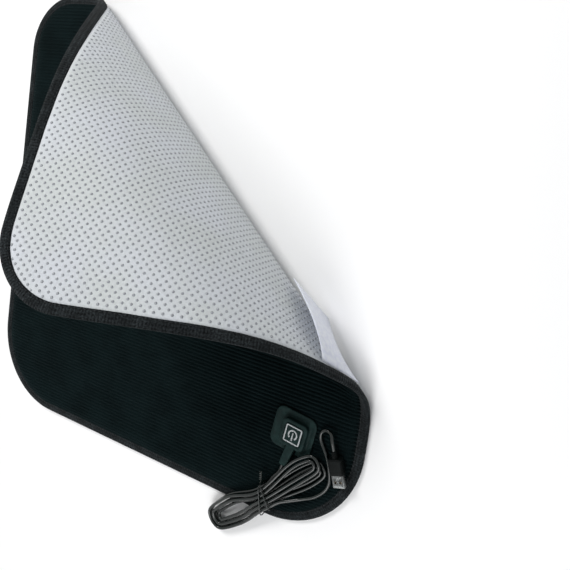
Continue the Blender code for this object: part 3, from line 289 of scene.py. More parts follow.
class Field:
    """A value in a node tree; an expression on it adds its own Math nodes."""

    def __init__(self, nodes, socket):
        self.nodes = nodes
        self.socket = socket

    def math(self, operation, *values):
        """Add a Math node."""
        return self.nodes.node("ShaderNodeMath", {"operation": operation}, (self, *values))

    def __add__(self, other):
        return self.math("ADD", other)

    def __mul__(self, other):
        return self.math("MULTIPLY", other)

    __radd__ = __add__
    __rmul__ = __mul__

    def between(self, low, high):
        """0 below low, 1 above high, smooth between them."""
        smooth = {"interpolation_type": "SMOOTHSTEP"}
        return self.nodes.node("ShaderNodeMapRange", smooth, (self, low, high, 0.0, 1.0))


class Finish(Nodes):
    """A material built round its Principled shader."""

    def __init__(self, name, colour, roughness, metallic=0.0, **sockets):
        self.material = bpy.data.materials.new(name)
        self.material.use_nodes = True
        self.material.diffuse_color = (*colour, 1.0)
        super().__init__(self.material.node_tree)
        self.shader = self.tree.nodes["Principled BSDF"]
        sockets.update(base_color=(*colour, 1.0), roughness=roughness, metallic=metallic)
        for socket, value in sockets.items():
            self.set(socket.replace("_", " ").title().replace("Ior", "IOR"), value)

    def set(self, name, value):
        """Give a shader socket a value or a link."""
        self.put(self.shader.inputs[name], value)

    def place(self):
        """Object coordinates, in metres."""
        return self.node("ShaderNodeTexCoord", output="Object")

    def surface_place(self):
        """The piece's own UV map, in metres along the flat cloth."""
        return self.node("ShaderNodeUVMap", {"uv_map": "flat"})

    def noise(self, place, size, detail=2.0, roughness=0.5):
        """Noise whose lumps are about as large as size, in metres."""
        values = {"Vector": place, "Scale": 1.0 / size, "Detail": detail, "Roughness": roughness}
        return self.node("ShaderNodeTexNoise", None, values, "Fac")

    def axes(self, place):
        """The first two parts of a place."""
        first = self.node("ShaderNodeSeparateXYZ", None, (place,))
        return first, Field(self, first.socket.node.outputs[1])

    def wave(self, part, pitch):
        """A sine over one coordinate, from 0 to 1."""
        return (part * (2 * math.pi / pitch)).math("SINE") * 0.5 + 0.5

    def blend(self, share, first, second):
        """A colour between two others; a Mix node's colours are its sockets 6 and 7."""
        return self.node("ShaderNodeMix", {"data_type": "RGBA"}, {0: share, 6: first, 7: second}, 2)

    def shade(self, share, colour, dark, light):
        """Set the base colour between two tints of a colour."""
        self.set("Base Color", self.blend(share, tinted(colour, dark), tinted(colour, light)))

    def bump(self, height, distance, strength=1.0):
        """Feed a height, from 0 to 1, to the shader's normal."""
        values = {"Height": height, "Distance": distance, "Strength": strength}
        self.set("Normal", self.node("ShaderNodeBump", None, values))


def tinted(colour, factor):
    """A colour made lighter or darker, as RGBA."""
    return (*[min(1.0, part * factor) for part in colour], 1.0)


def plush_finish(colour):
    """Deep pile: nearly black, with tufts that catch a little light."""
    finish = Finish(
        "black_ribbed_plush", colour, 1.0, specular_ior_level=0.02, sheen_weight=0.035,
        sheen_roughness=0.45, sheen_tint=(0.55, 0.75, 0.78, 1.0),
    )
    place = finish.surface_place()
    tufts = finish.noise(place, 0.0011, 3.0, 0.65)
    drift = finish.noise(place, 0.035)
    finish.shade(tufts.between(0.36, 0.68) * 0.7 + drift.between(0.25, 0.75) * 0.3, colour, 0.30, 1.90)
    finish.bump(tufts * 0.7 + finish.noise(place, 0.0004, 1.0) * 0.3, 0.0009, 0.9)
    return finish.material


def fabric_finish(colour):
    """Anti-slip fabric: a fine plain weave with a silvery coat."""
    finish = Finish(
        "silver_anti_slip_fabric", colour, 0.62, specular_ior_level=0.35, sheen_weight=0.10,
        sheen_roughness=0.4,
    )
    place = finish.surface_place()
    thread = 0.0009
    across, along = finish.axes(place)
    weave = finish.wave(across, thread) * finish.wave(along, thread)
    mottle = finish.noise(place, 0.0022, 3.0, 0.6)
    grain = finish.noise(place, thread, 2.0, 0.7)
    drift = finish.noise(place, 0.060).between(0.3, 0.7)
    shade = mottle.between(0.3, 0.7) * 0.35 + grain.between(0.3, 0.7) * 0.40 + drift * 0.25
    warm = [part * share for part, share in zip(colour, (1.01, 1.015, 0.995))]
    cool = [part * share for part, share in zip(colour, (0.995, 0.99, 1.03))]
    dark, light = [finish.blend(drift, tinted(warm, tint), tinted(cool, tint)) for tint in (0.84, 1.12)]
    finish.set("Base Color", finish.blend(shade, dark, light))
    finish.set("Roughness", mottle * 0.16 + 0.54)
    finish.bump(weave * 0.6 + mottle * 0.4, 0.0004, 0.45)
    return finish.material


def dot_finish(colour):
    """Soft rubber of the anti-slip dots."""
    finish = Finish("grey_rubber_dots", colour, 0.55)
    finish.shade(finish.noise(finish.place(), 0.0012).between(0.35, 0.65), colour, 0.86, 1.12)
    return finish.material


def tape_finish(colour):
    """Woven tape: fine ribs across it, with lighter threads here and there."""
    finish = Finish(
        "charcoal_woven_tape", colour, 0.82, specular_ior_level=0.05, sheen_weight=0.05,
        sheen_roughness=0.4,
    )
    place = finish.surface_place()
    along, across = finish.axes(place)
    rib = finish.wave(along, 0.0026)
    cord = finish.wave(across, 0.0036)
    thread = finish.noise(place, 0.0016, 3.0, 0.75)
    worn = finish.noise(place, 0.012).between(0.35, 0.7)
    light = finish.blend(worn, tinted(colour, 2.4), tinted(colour, 4.6))
    shade = rib * 0.20 + cord * 0.20 + thread.between(0.42, 0.62) * 0.60
    finish.set("Base Color", finish.blend(shade, tinted(colour, 0.20), light))
    finish.bump(rib * 0.35 + cord * 0.25 + thread * 0.4, 0.0010, 0.9)
    return finish.material


def thread_finish(colour):
    """Polyester sewing thread with its twist."""
    finish = Finish("charcoal_thread", colour, 0.7, specular_ior_level=0.2, sheen_weight=0.05)
    twist = finish.noise(finish.place(), 0.0005, 1.0)
    finish.shade(twist, colour, 0.8, 1.9)
    finish.bump(twist, 0.0002, 0.6)
    return finish.material


def satin_finish():
    """White satin ribbon with fine warp threads."""
    finish = Finish("white_satin_ribbon", (0.80, 0.83, 0.91), 0.42, sheen_weight=0.1)
    place = finish.surface_place()
    warp = finish.wave(finish.axes(place)[0], 0.0005)
    slub = finish.noise(place, 0.004)
    shadow, gleam = (0.74, 0.77, 0.88, 1), (0.84, 0.87, 0.93, 1)
    finish.set("Base Color", finish.blend(slub.between(0.3, 0.7), shadow, gleam))
    finish.set("Roughness", slub * 0.15 + 0.35)
    finish.bump(warp * 0.7 + slub * 0.3, 0.0002, 0.5)
    return finish.material


def silicone_finish(name, colour, roughness=0.5):
    """Moulded silicone or rubber: fine grain, a little dust on it."""
    finish = Finish(name, colour, roughness, specular_ior_level=0.05)
    dust = finish.noise(finish.place(), 0.006, 3.0)
    finish.shade(dust.between(0.35, 0.7), colour, 0.85, 1.35)
    finish.set("Roughness", dust * 0.18 + (roughness - 0.09))
    finish.bump(finish.noise(finish.place(), 0.0004), 0.0001, 0.5)
    return finish.material


def vinyl_finish(name, colour, roughness=0.16):
    """Glossy cord sheath, slightly wavy along its length."""
    finish = Finish(
        name, colour, roughness, specular_ior_level=0.18, coat_weight=0.45, coat_roughness=0.06
    )
    wave = finish.noise(finish.place(), 0.020, 1.0)
    smear = finish.noise(finish.place(), 0.012, 1.0)
    finish.shade(wave, colour, 0.8, 1.3)
    finish.set("Roughness", smear.between(0.3, 0.7) * 0.08 + (roughness - 0.04))
    finish.bump(wave, 0.0002, 0.2)
    return finish.material


def plain_finish(name, colour, roughness, metallic=0.0):
    """A hard or hidden piece: its colour with a slight mottle and scuffs."""
    finish = Finish(name, colour, roughness, metallic)
    mottle = finish.noise(finish.place(), 0.0025, 3.0)
    finish.shade(mottle.between(0.3, 0.7), colour, 0.88, 1.08)
    finish.set("Roughness", mottle * 0.14 + (roughness - 0.07))
    return finish.material


# The flat mat and its fold


class Fold:
    """Lays flat points over the mat's fold."""

    def __init__(self):
        self.across = np.array((math.sin(FOLD_SLANT), math.cos(FOLD_SLANT)))
        self.corner = np.array((MAT_SIZE / 2, -MAT_SIZE / 2))
        self.distance = np.linspace(0, 2 * MAT_SIZE, FOLD_TABLE + 1)
        self.turn = sum(angle * self.bent(middle, width) for middle, width, angle in BENDS)
        step = self.distance[1]
        middle_turn = (self.turn[1:] + self.turn[:-1]) / 2
        self.forward = np.concatenate([[0], np.cumsum(np.cos(middle_turn) * step)])
        self.upward = np.concatenate([[0], np.cumsum(np.sin(middle_turn) * step)])
        self.start = BENDS[0][0] - BENDS[0][1] / 2

    def bent(self, middle, width):
        """Share of a bend that is behind each distance."""
        place = np.clip((self.distance - middle) / width, -0.5, 0.5)
        return 0.5 + place + np.sin(2 * math.pi * place) / (2 * math.pi)

    def lay(self, points):
        """Folded places of flat points, whose z is their height over the floor side."""
        points = np.asarray(points, dtype=float)
        distance = (points[:, :2] - self.corner) @ self.across
        height = points[:, 2]
        tables = (self.turn, self.forward, self.upward)
        turn, forward, upward = [np.interp(distance, self.distance, table) for table in tables]
        bent = distance > self.start
        shift = np.where(bent, forward - distance - height * np.sin(turn), 0)
        result = points.copy()
        result[:, :2] += shift[:, None] * self.across
        result[:, 2] = np.where(bent, upward + height * np.cos(turn), height)
        return result


FOLD = Fold()


def run_of(points):
    """Distance along a line at each of its points."""
    return np.concatenate([[0], np.cumsum(np.linalg.norm(np.diff(points, axis=0), axis=1))])


def even(points, spacing):
    """The same line with points at an even spacing."""
    run = run_of(points)
    at = np.linspace(0, run[-1], max(4, int(round(run[-1] / spacing))) + 1)
    return np.stack([np.interp(at, run, values) for values in points.T], axis=1)


def left_of(line, closed=True):
    """Unit vectors to the left of a flat line at each of its points."""
    before, after = np.roll(line, 1, axis=0), np.roll(line, -1, axis=0)
    if not closed:
        before[0], after[-1] = line[0], line[-1]
    along = after - before
    along /= np.linalg.norm(along, axis=1)[:, None]
    return np.stack([-along[:, 1], along[:, 0]], axis=1)


def half_width(y, inset):
    """Half of the mat's width at a distance along it, drawn in by an inset."""
    half = MAT_SIZE / 2 - inset
    corner = np.where(y < 0, FRONT_CORNER, BACK_CORNER) - inset
    over = np.clip(np.abs(y) - (half - corner), 0, corner)
    return half - corner + np.sqrt(np.maximum(corner**2 - over**2, 0))


def edge_distance(x, y):
    """Distance of flat points from the mat's outline, inwards."""
    half = MAT_SIZE / 2
    corner = np.where(y < 0, FRONT_CORNER, BACK_CORNER)
    past_x = np.abs(x) - (half - corner)
    past_y = np.abs(y) - (half - corner)
    round_part = corner - np.hypot(np.maximum(past_x, 0), np.maximum(past_y, 0))
    straight = np.minimum(half - np.abs(x), half - np.abs(y))
    return np.where((past_x > 0) & (past_y > 0), round_part, straight)


def outline(inset, spacing):
    """Points on the mat's outline, drawn in by an inset, and the length of the outline."""
    half = MAT_SIZE / 2 - inset
    front, back = FRONT_CORNER - inset, BACK_CORNER - inset
    points = []
    for k, (side, end, radius) in enumerate(((1, -1, front), (1, 1, back), (-1, 1, back), (-1, -1, front))):
        for angle in np.linspace((k - 1) * QUARTER, k * QUARTER, 24):
            points.append((
                side * (half - radius) + radius * math.cos(angle),
                end * (half - radius) + radius * math.sin(angle),
            ))
    points = np.array(points + points[:1])
    return even(points, spacing)[:-1], run_of(points)[-1]


def flat_grid(inset, rows, columns):
    """Flat places of a grid over the mat, row by row from the front, drawn in by an inset."""
    reach = (MAT_SIZE - 2 * inset) / 2
    y = np.linspace(-reach, reach, rows)
    x = np.outer(half_width(y, inset), np.linspace(-1, 1, columns))
    return np.column_stack([x.ravel(), np.repeat(y, columns)])


def rise(share):
    """Round shoulder from 0 to 1."""
    return np.sin(QUARTER * np.clip(share, 0, 1)) ** 0.85


def cloth_inset():
    """Distance of the edge of the plush and of the fabric from the mat's outline."""
    return looks()[0].tape_width - TUCK_UNDER_TAPE


def on_floor_side(flat):
    """Flat places with the height of the floor side, which is drawn up a little under the tape."""
    past_tape = edge_distance(*flat.T) - looks()[0].tape_width
    return np.column_stack([flat, RIM_LOW * (1 - rise(past_tape / FABRIC_RISE_WIDTH))])


def from_corner(place):
    """A place given from the mat's front right corner, in the frame's own axes."""
    return np.array((MAT_SIZE / 2 + place[0], place[1] - MAT_SIZE / 2, place[2]))


# Meshes and objects


def linked(name, data):
    """An object of the scene, at the origin."""
    item = bpy.data.objects.new(name, data)
    bpy.context.scene.collection.objects.link(item)
    return item


def new_piece(name, points, faces, material=None, flat=None, smooth=True, edges=()):
    """A mesh object; flat gives each vertex its place on the flat cloth as UV."""
    mesh = bpy.data.meshes.new(name)
    mesh.from_pydata([tuple(point) for point in points], edges, faces)
    if material:
        mesh.materials.append(material)
    if flat is not None:
        layer = mesh.uv_layers.new(name="flat")
        loops = np.empty(len(mesh.loops), dtype=np.int32)
        mesh.loops.foreach_get("vertex_index", loops)
        layer.data.foreach_set("uv", np.asarray(flat, dtype=np.float32)[loops, :2].ravel())
    mesh.update()
    if smooth:
        mesh.shade_smooth()
    return linked(name, mesh)


def outward(piece):
    """Turn a closed mesh's faces outwards."""
    bm = bmesh.new()
    bm.from_mesh(piece.data)
    bmesh.ops.recalc_face_normals(bm, faces=bm.faces)
    bm.to_mesh(piece.data)
    bm.free()
    return piece


def lay_mesh(piece):
    """Lay a flat piece's mesh over the fold."""
    vertices = piece.data.vertices
    points = np.empty(len(vertices) * 3)
    vertices.foreach_get("co", points)
    vertices.foreach_set("co", FOLD.lay(points.reshape(-1, 3)).ravel())
    piece.data.update()
    return piece


def finished(piece):
    """Turn what a piece's modifiers make of it into its plain mesh."""
    bpy.context.view_layer.update()
    evaluated = piece.evaluated_get(bpy.context.evaluated_depsgraph_get())
    old, piece.data = piece.data, bpy.data.meshes.new_from_object(evaluated)
    piece.modifiers.clear()
    bpy.data.meshes.remove(old)
    piece.data.name = piece.name
    return piece


def grid_faces(rows, columns, start=0, flip=False, wrap=False, closed=False):
    """Quads of a grid of vertices, numbered row by row; rows may wrap, and the last meet the first."""
    faces = []
    for i in range(rows if closed else rows - 1):
        here, there = start + i * columns, start + (i + 1) % rows * columns
        for j in range(columns if wrap else columns - 1):
            k = (j + 1) % columns
            face = [here + j, here + k, there + k, there + j]
            faces.append(face[::-1] if flip else face)
    return faces


class Tree(Nodes):
    """A geometry node tree with named sizes, which sets small beads at places on a piece."""

    def __init__(self, name, sizes):
        super().__init__(bpy.data.node_groups.new(name, "GeometryNodeTree"))
        for way in ("INPUT", "OUTPUT"):
            self.tree.interface.new_socket("Geometry", in_out=way, socket_type="NodeSocketGeometry")
        self.values = {}
        for size, value in sizes.items():
            item = self.tree.interface.new_socket(size, in_out="INPUT", socket_type="NodeSocketFloat")
            item.default_value = value
            self.values[item.identifier] = value
        outputs = self.tree.nodes.new("NodeGroupInput").outputs
        self.sizes = {socket.name: Field(self, socket) for socket in outputs}

    def finish(self, piece, radius, material, **sockets):
        """Set the beads, end in Realize Instances and Set Material, and apply the tree to a piece."""
        bead = self.node("GeometryNodeMeshIcoSphere", None, {"Radius": radius, "Subdivisions": 1})
        placed = self.node("GeometryNodeInstanceOnPoints", None, {"Instance": bead, **sockets})
        real = self.node("GeometryNodeRealizeInstances", None, (placed,))
        dressed = self.node("GeometryNodeSetMaterial", None, {"Geometry": real, "Material": material})
        self.put(self.tree.nodes.new("NodeGroupOutput").inputs[0], dressed)
        modifier = piece.modifiers.new(self.tree.name, "NODES")
        modifier.node_group = self.tree
        for identifier, value in self.values.items():
            modifier[identifier] = value
        finished(piece).data.shade_smooth()
        bpy.data.node_groups.remove(self.tree)


# Pieces of the mat


def make_plush():
    """Top side: plush with ribs from side to side, closed below by a plain lining."""
    look = looks()[0]
    inset = cloth_inset()
    rows = int((MAT_SIZE - 2 * inset) / look.rib_pitch) * RIB_SAMPLES + 1
    columns = PLUSH_COLUMNS
    flat = flat_grid(inset, rows, columns)
    puff = rise((edge_distance(*flat.T) - inset) / PLUSH_PUFF_WIDTH)
    phase = np.repeat(np.arange(rows) % RIB_SAMPLES, columns) / RIB_SAMPLES
    groove = (0.5 + 0.5 * np.cos(2 * math.pi * phase)) ** 1.5
    uneven = np.random.default_rng(7).normal(0, PLUSH_UNEVEN, rows * columns)
    ribs = look.rib_depth * groove * (0.25 + 0.75 * puff)
    top = RIM_TOP + (PLUSH_TOP - RIM_TOP) * puff - ribs + uneven
    low = np.minimum(top - PLUSH_WALL, LINING_RIM + (LINING_TOP - LINING_RIM) * puff)

    # The lining has a vertex under each groove; at the rim it shares the plush's own vertices
    inner = np.s_[RIB_SAMPLES:-RIB_SAMPLES:RIB_SAMPLES, 1:-1]
    lining = np.column_stack([flat, low]).reshape(rows, columns, 3)[inner].reshape(-1, 3)
    index = np.arange(rows * columns).reshape(rows, columns)[::RIB_SAMPLES].copy()
    index[1:-1, 1:-1] = rows * columns + np.arange(len(lining)).reshape(-1, columns - 2)
    index = index.tolist()
    faces = grid_faces(rows, columns)
    for near, far in zip(index, index[1:]):
        for j in range(columns - 1):
            face = [near[j], far[j], far[j + 1], near[j + 1]]
            if j == 0:
                face[1:1] = range(near[0] + columns, far[0], columns)
            elif j == columns - 2:
                face[3:3] = range(far[-1] - columns, near[-1], -columns)
            faces.append(face)
    points = np.vstack([np.column_stack([flat, top]), lining])
    return new_piece("ribbed_plush", FOLD.lay(points), faces, plush_finish(look.plush_colour), points)


def make_fabric():
    """Floor side: anti-slip fabric, with a thin wall and a closed rim."""
    inset = cloth_inset()
    side = int((MAT_SIZE - 2 * inset) / FABRIC_STEP)
    count = side * side
    under = on_floor_side(flat_grid(inset, side, side))
    points = np.vstack([under, under + (0, 0, FABRIC_WALL)])
    index = np.arange(count).reshape(side, side)
    rim = np.concatenate([index[0], index[1:, -1], index[-1, -2::-1], index[-2:0:-1, 0]]).tolist()
    faces = grid_faces(side, side, flip=True) + grid_faces(side, side, count)
    faces += [[a, b, b + count, a + count] for a, b in zip(rim, rim[1:] + rim[:1])]
    material = fabric_finish(looks()[0].fabric_colour)
    return new_piece("anti_slip_fabric", FOLD.lay(points), faces, material, points)


def make_dots():
    """Rubber dots on the floor side, in square cells with one more dot in the middle."""
    look = looks()[0]
    cell = look.dot_cell
    at = MAT_SIZE / 2 - DOT_MARGIN - cell * np.arange(int(MAT_SIZE / cell) + 1)
    corners = np.stack(np.meshgrid(at, at), axis=-1).reshape(-1, 2)
    places = np.vstack([corners, corners - cell / 2])
    places = places[edge_distance(*places.T) > look.tape_width + look.dot_diameter * 0.3]
    piece = new_piece("anti_slip_dots", on_floor_side(places), [])
    tree = Tree("anti_slip_dots_tree", {"Dot diameter": look.dot_diameter, "Dot height": DOT_HEIGHT})
    half = tree.sizes["Dot diameter"] * 0.5
    size = tree.node("ShaderNodeCombineXYZ", None, (half, half, tree.sizes["Dot height"]))
    dots = tree.node("GeometryNodeMeshToPoints", None, (tree.sizes["Geometry"],))
    tree.finish(piece, 1.0, dot_finish(look.dot_colour), Points=dots, Scale=size)
    return lay_mesh(piece)


def tape_section(width):
    """Section of the folded tape, as (inset, height), outside from the top, then inside back."""
    top, low = TAPE_TOP, TAPE_LOW
    middle = (top + low) / 2
    outside = (
        (1.0, top - 0.0007), (0.86, top - 0.0001), (0.66, top + 0.0003), (0.42, top + 0.0004),
        (0.20, top + 0.0001), (0.07, top - 0.0007), (0.0, middle + 0.0008), (0.0, middle - 0.0008),
        (0.07, low + 0.0007), (0.20, low), (0.42, low - 0.0001), (0.66, low), (0.86, low + 0.0002),
        (1.0, low + 0.0006),
    )
    inside = (
        (1.0, low + 0.0011), (0.5, low + 0.0010), (0.16, low + 0.0012), (0.16, top - 0.0012),
        (0.5, top - 0.0010), (1.0, top - 0.0012),
    )
    return np.array([(width * share, height) for share, height in outside + inside])


def make_tape():
    """Woven tape folded round the whole edge; its free edges wander a little."""
    look = looks()[0]
    line, run = outline(0.0, TAPE_STEP)
    inward = left_of(line)
    count = len(line)
    uneven = np.tile(np.random.default_rng(3).normal(0, 1, count), 3)
    uneven = np.convolve(uneven, np.ones(TAPE_SMOOTH) / TAPE_SMOOTH, "same")[count:2 * count]
    section = tape_section(look.tape_width)
    points, flat = [], []
    for (inset, height), reach in zip(section, run_of(section)):
        wander = TAPE_WANDER * uneven if inset > 0.8 * look.tape_width else 0 * uneven
        places = line + inward * (inset * (1 + wander))[:, None]
        points.append(np.column_stack([places, np.full(count, height)]))
        flat.append(np.column_stack([np.arange(count) * run / count, np.full(count, reach)]))
    faces = grid_faces(len(section), count, wrap=True, closed=True)
    material = tape_finish(look.tape_colour)
    points = FOLD.lay(np.vstack(points))
    return outward(new_piece("edge_binding", points, faces, material, np.vstack(flat)))


def make_stitches():
    """Two rows of stitches through the tape, one on each side of the mat."""
    look = looks()[0]
    material = thread_finish(look.tape_colour)
    line = outline(look.tape_width * STITCH_LINE, STITCH_LINE_STEP)[0]
    count = len(line)
    edges = [(i, (i + 1) % count) for i in range(count)]
    sizes = {
        "Stitch pitch": look.stitch_length * STITCH_PITCH, "Stitch length": look.stitch_length,
        "Stitch width": STITCH_WIDTH,
    }
    rows = []
    heights = {"stitches_above": TAPE_TOP - STITCH_SINK, "stitches_below": TAPE_LOW + STITCH_SINK}
    for name, height in heights.items():
        piece = new_piece(name, np.column_stack([line, np.full(count, height)]), [], edges=edges)
        tree = Tree(name + "_tree", sizes)
        pitch, length, width = [tree.sizes[size] for size in sizes]
        curve = tree.node("GeometryNodeMeshToCurve", None, (tree.sizes["Geometry"],))
        by_length = {"mode": "LENGTH"}
        spaced = tree.node("GeometryNodeResampleCurve", by_length, {"Curve": curve, "Length": pitch})
        tangent = tree.node("GeometryNodeInputTangent")
        turn = tree.node("FunctionNodeAlignRotationToVector", {"axis": "X"}, {"Vector": tangent})
        size = tree.node("ShaderNodeCombineXYZ", None, (length, width, width))
        tree.finish(piece, 0.5, material, Points=spaced, Rotation=turn, Scale=size)
        rows.append(lay_mesh(piece))
    return rows


def make_label():
    """Satin label, sewn under the right edge and hanging to the floor behind the fold."""
    seam_x = MAT_SIZE / 2 - LABEL_SEAM_INSET
    seam = FOLD.lay([(seam_x, y - MAT_SIZE / 2, LABEL_SEAM_HEIGHT) for y in LABEL_SEAM])
    sides = [(start, *map(from_corner, places)) for start, places in zip(seam, LABEL_SIDES)]
    rows, columns = 25, 13
    points, flat = [], []
    for i in range(rows):
        t = i / (rows - 1)
        near, far = [(1 - t) ** 2 * a + 2 * t * (1 - t) * b + t * t * c for a, b, c in sides]
        swell = LABEL_BULGE * math.sqrt(max(0.0, math.sin(math.pi * t)))
        for j in range(columns):
            s = j / (columns - 1)
            bulge = FOLD.across * swell * math.sin(math.pi * s)
            points.append(near * (1 - s) + far * s + (*bulge, 0))
            flat.append((s * LABEL_FLAT[0], t * LABEL_FLAT[1]))
    piece = new_piece("satin_label", points, grid_faces(rows, columns), satin_finish(), flat)
    wall = piece.modifiers.new("thickness", "SOLIDIFY")
    wall.thickness = LABEL_THICKNESS
    wall.offset = 0
    return piece


# The cord


def smooth_step(share):
    """Ease from 0 to 1."""
    share = np.clip(share, 0.0, 1.0)
    return share * share * (3 - 2 * share)


def ground_height(y):
    """Height that carries the cord: the plush, and a slope down over the front edge."""
    share = smooth_step((y + MAT_SIZE / 2 + RAMP_OUTSIDE) / (RAMP_INSIDE + RAMP_OUTSIDE))
    return share * PLUSH_TOP + REST_GAP


def hank_axes():
    """Middle of the hank's waist and its directions along and across."""
    cosine, sine = math.cos(HANK_HEADING), math.sin(HANK_HEADING)
    return from_corner((*HANK_MIDDLE, 0.0)), np.array((cosine, sine, 0.0)), np.array((-sine, cosine, 0.0))


def by_end(along, sizes):
    """Which of two sizes goes with a place: the left end's or the right end's."""
    return np.where(along < 0, *sizes)


def hank_spread(along):
    """Share of the way from the waist into the lobe."""
    return smooth_step(np.abs(along) / by_end(along, HANK_WAIST_REACH))


def hank_lift(along):
    """Height of the waist, which the tie draws up off its rest."""
    return HANK_LIFT * (1 - smooth_step(np.abs(along) / HANK_LIFT_REACH))


def hank_route(per_turn=320):
    """Loops that spiral in on the lower layer and out on the upper one, at even steps."""
    middle, ahead, aside = hank_axes()
    angle = np.linspace(QUARTER, QUARTER + 2 * math.pi * HANK_TURNS, int(per_turn * HANK_TURNS))
    turned = angle - QUARTER
    turning = math.pi * HANK_TURNS
    depth = np.minimum(turned, 2 * turning - turned) / (2 * math.pi)
    layer = smooth_step((turned - turning + QUARTER) / math.pi)
    cosine = np.cos(angle)
    swing = np.clip(cosine / HANK_RUN_SHARE, -1, 1)
    run = (15 * swing - 10 * swing**3 + 3 * swing**5) / 8
    lobe = by_end(cosine, HANK_LOBE) - by_end(cosine, HANK_STEP) * depth
    waist = HANK_WAIST - HANK_WAIST_STEP * depth
    along = lobe * cosine + (by_end(cosine, HANK_REACH) - by_end(cosine, HANK_LOBE)) * run
    spread = hank_spread(along)
    lower, upper = by_end(along, HANK_LOWER_DRIFT), by_end(along, HANK_UPPER_DRIFT)
    drift = lower + (upper - lower) * layer
    across = np.sin(angle) * (waist + (lobe - waist) * spread) + drift * spread
    route = middle + np.outer(along, ahead) + np.outer(across, aside)
    route[:, 2] = ground_height(route[:, 1]) + CORD_DIAMETER / 2 + hank_lift(along) + HANK_LAYER * layer
    return route


def smooth_route(places, start_heading, end_heading):
    """Points at an even spacing on a smooth curve through the places, straight at both ends."""
    places = [np.asarray(place, dtype=float) for place in places]
    start, end = [np.array(heading) / np.linalg.norm(heading) for heading in (start_heading, end_heading)]
    lead_in = 2 * CORD_DIAMETER
    knots = [places[0], places[0] + start * lead_in, *places[1:-1], places[-1] - end * lead_in, places[-1]]
    fine = [knots[0]]
    for before, here, there, after in zip(knots, knots[1:], knots[2:], knots[3:]):
        for t in np.arange(24) / 24:
            fine.append(
                (2 * t**3 - 3 * t**2 + 1) * here + (t**3 - 2 * t**2 + t) * (there - before) / 2
                + (3 * t**2 - 2 * t**3) * there + (t**3 - t**2) * (after - here) / 2
            )
    return even(np.array(fine + knots[-2:]), CORD_STEP)


def button_unit():
    """Place of the button unit on the plush."""
    place = from_corner((*BUTTON_PLACE, PLUSH_TOP + FIT_GAP))
    return Matrix.Translation(place) @ Matrix.Rotation(BUTTON_TURN, 4, "Z")


def plug_unit():
    """Place of the plug: z ahead along its axis, x across its width, y through its height."""
    turn = Matrix.Rotation(PLUG_HEADING, 4, "Z") @ Matrix.Rotation(PLUG_PITCH, 4, "Y")
    across = Matrix.Rotation(QUARTER, 4, "Z") @ Matrix.Rotation(QUARTER, 4, "X")
    return Matrix.Translation(from_corner(PLUG_PLACE)) @ turn @ across


def cord_route():
    """The whole cord, from inside the sleeve through the tied hank to the plug's inside."""
    hank = hank_route()
    ahead = hank_axes()[1]
    inside = Vector((0, -HOUSING_HALF + CORD_INSIDE_HOUSING, SLEEVE_HEIGHT))
    mouth = Vector((-SLEEVE_OFFSET, -HOUSING_HALF - SLEEVE_LENGTH, SLEEVE_HEIGHT))
    mouth += (mouth - inside).normalized() * CORD_DIAMETER / 2
    start, mouth = [button_unit() @ place for place in (inside, mouth)]
    end = plug_unit() @ Vector((0, 0, -PLUG_HALF + PLUG_NECK / 2))
    neck = plug_unit() @ Vector((0, 0, -PLUG_HALF - PLUG_NECK - CORD_DIAMETER))
    lead = smooth_route([mouth, *map(from_corner, LEAD_ROUTE), hank[0]], mouth - start, -ahead)
    tail = smooth_route([hank[-1], *map(from_corner, TAIL_ROUTE), neck], ahead, end - neck)
    sleeve_start = mouth + (start - mouth) * CORD_IN_SLEEVE
    return np.vstack([[sleeve_start], lead, even(hank, CORD_STEP)[1:-1], tail, [end]])


def new_curve(name, points, diameter, material, resolution):
    """A round tube along the points."""
    curve = bpy.data.curves.new(name, "CURVE")
    curve.dimensions = "3D"
    curve.bevel_depth = diameter / 2
    curve.bevel_resolution = resolution
    curve.use_fill_caps = True
    spline = curve.splines.new("POLY")
    spline.points.add(len(points) - 1)
    for target, point in zip(spline.points, points):
        target.co = (*point, 1.0)
    spline.use_smooth = True
    curve.materials.append(material)
    return linked(name, curve)


def tie_wraps(size):
    """Wraps of the tie round the waist, each slanting across its top, as points."""
    middle, ahead, aside = hank_axes()
    clear = TIE_CLEARANCE + size / 2
    half = HANK_WAIST + CORD_DIAMETER / 2 + clear
    low = ground_height(middle[1]) + HANK_LIFT - clear
    half_height = (CORD_DIAMETER + HANK_LAYER) / 2 + clear
    section = rounded_loop(half, half_height, TIE_CORNER, 8) + (0, low + half_height)
    wraps = []
    for i, top_end in enumerate(TIE_TOP_ENDS):
        for k, (y, z) in enumerate(section):
            first = TIE_START + TIE_PITCH * (i if k < len(section) / 2 else i + 1)
            along = first + (top_end - first) * (half - y) / (2 * half)
            wider = by_end(along, HANK_LOBE) - HANK_WAIST + np.abs(by_end(along, HANK_UPPER_DRIFT))
            place = middle + ahead * along + aside * (y + math.copysign(wider * hank_spread(along), y))
            place[2] = z + ground_height(place[1]) - ground_height(middle[1]) + hank_lift(along) - HANK_LIFT
            wraps.append(place)
    return wraps


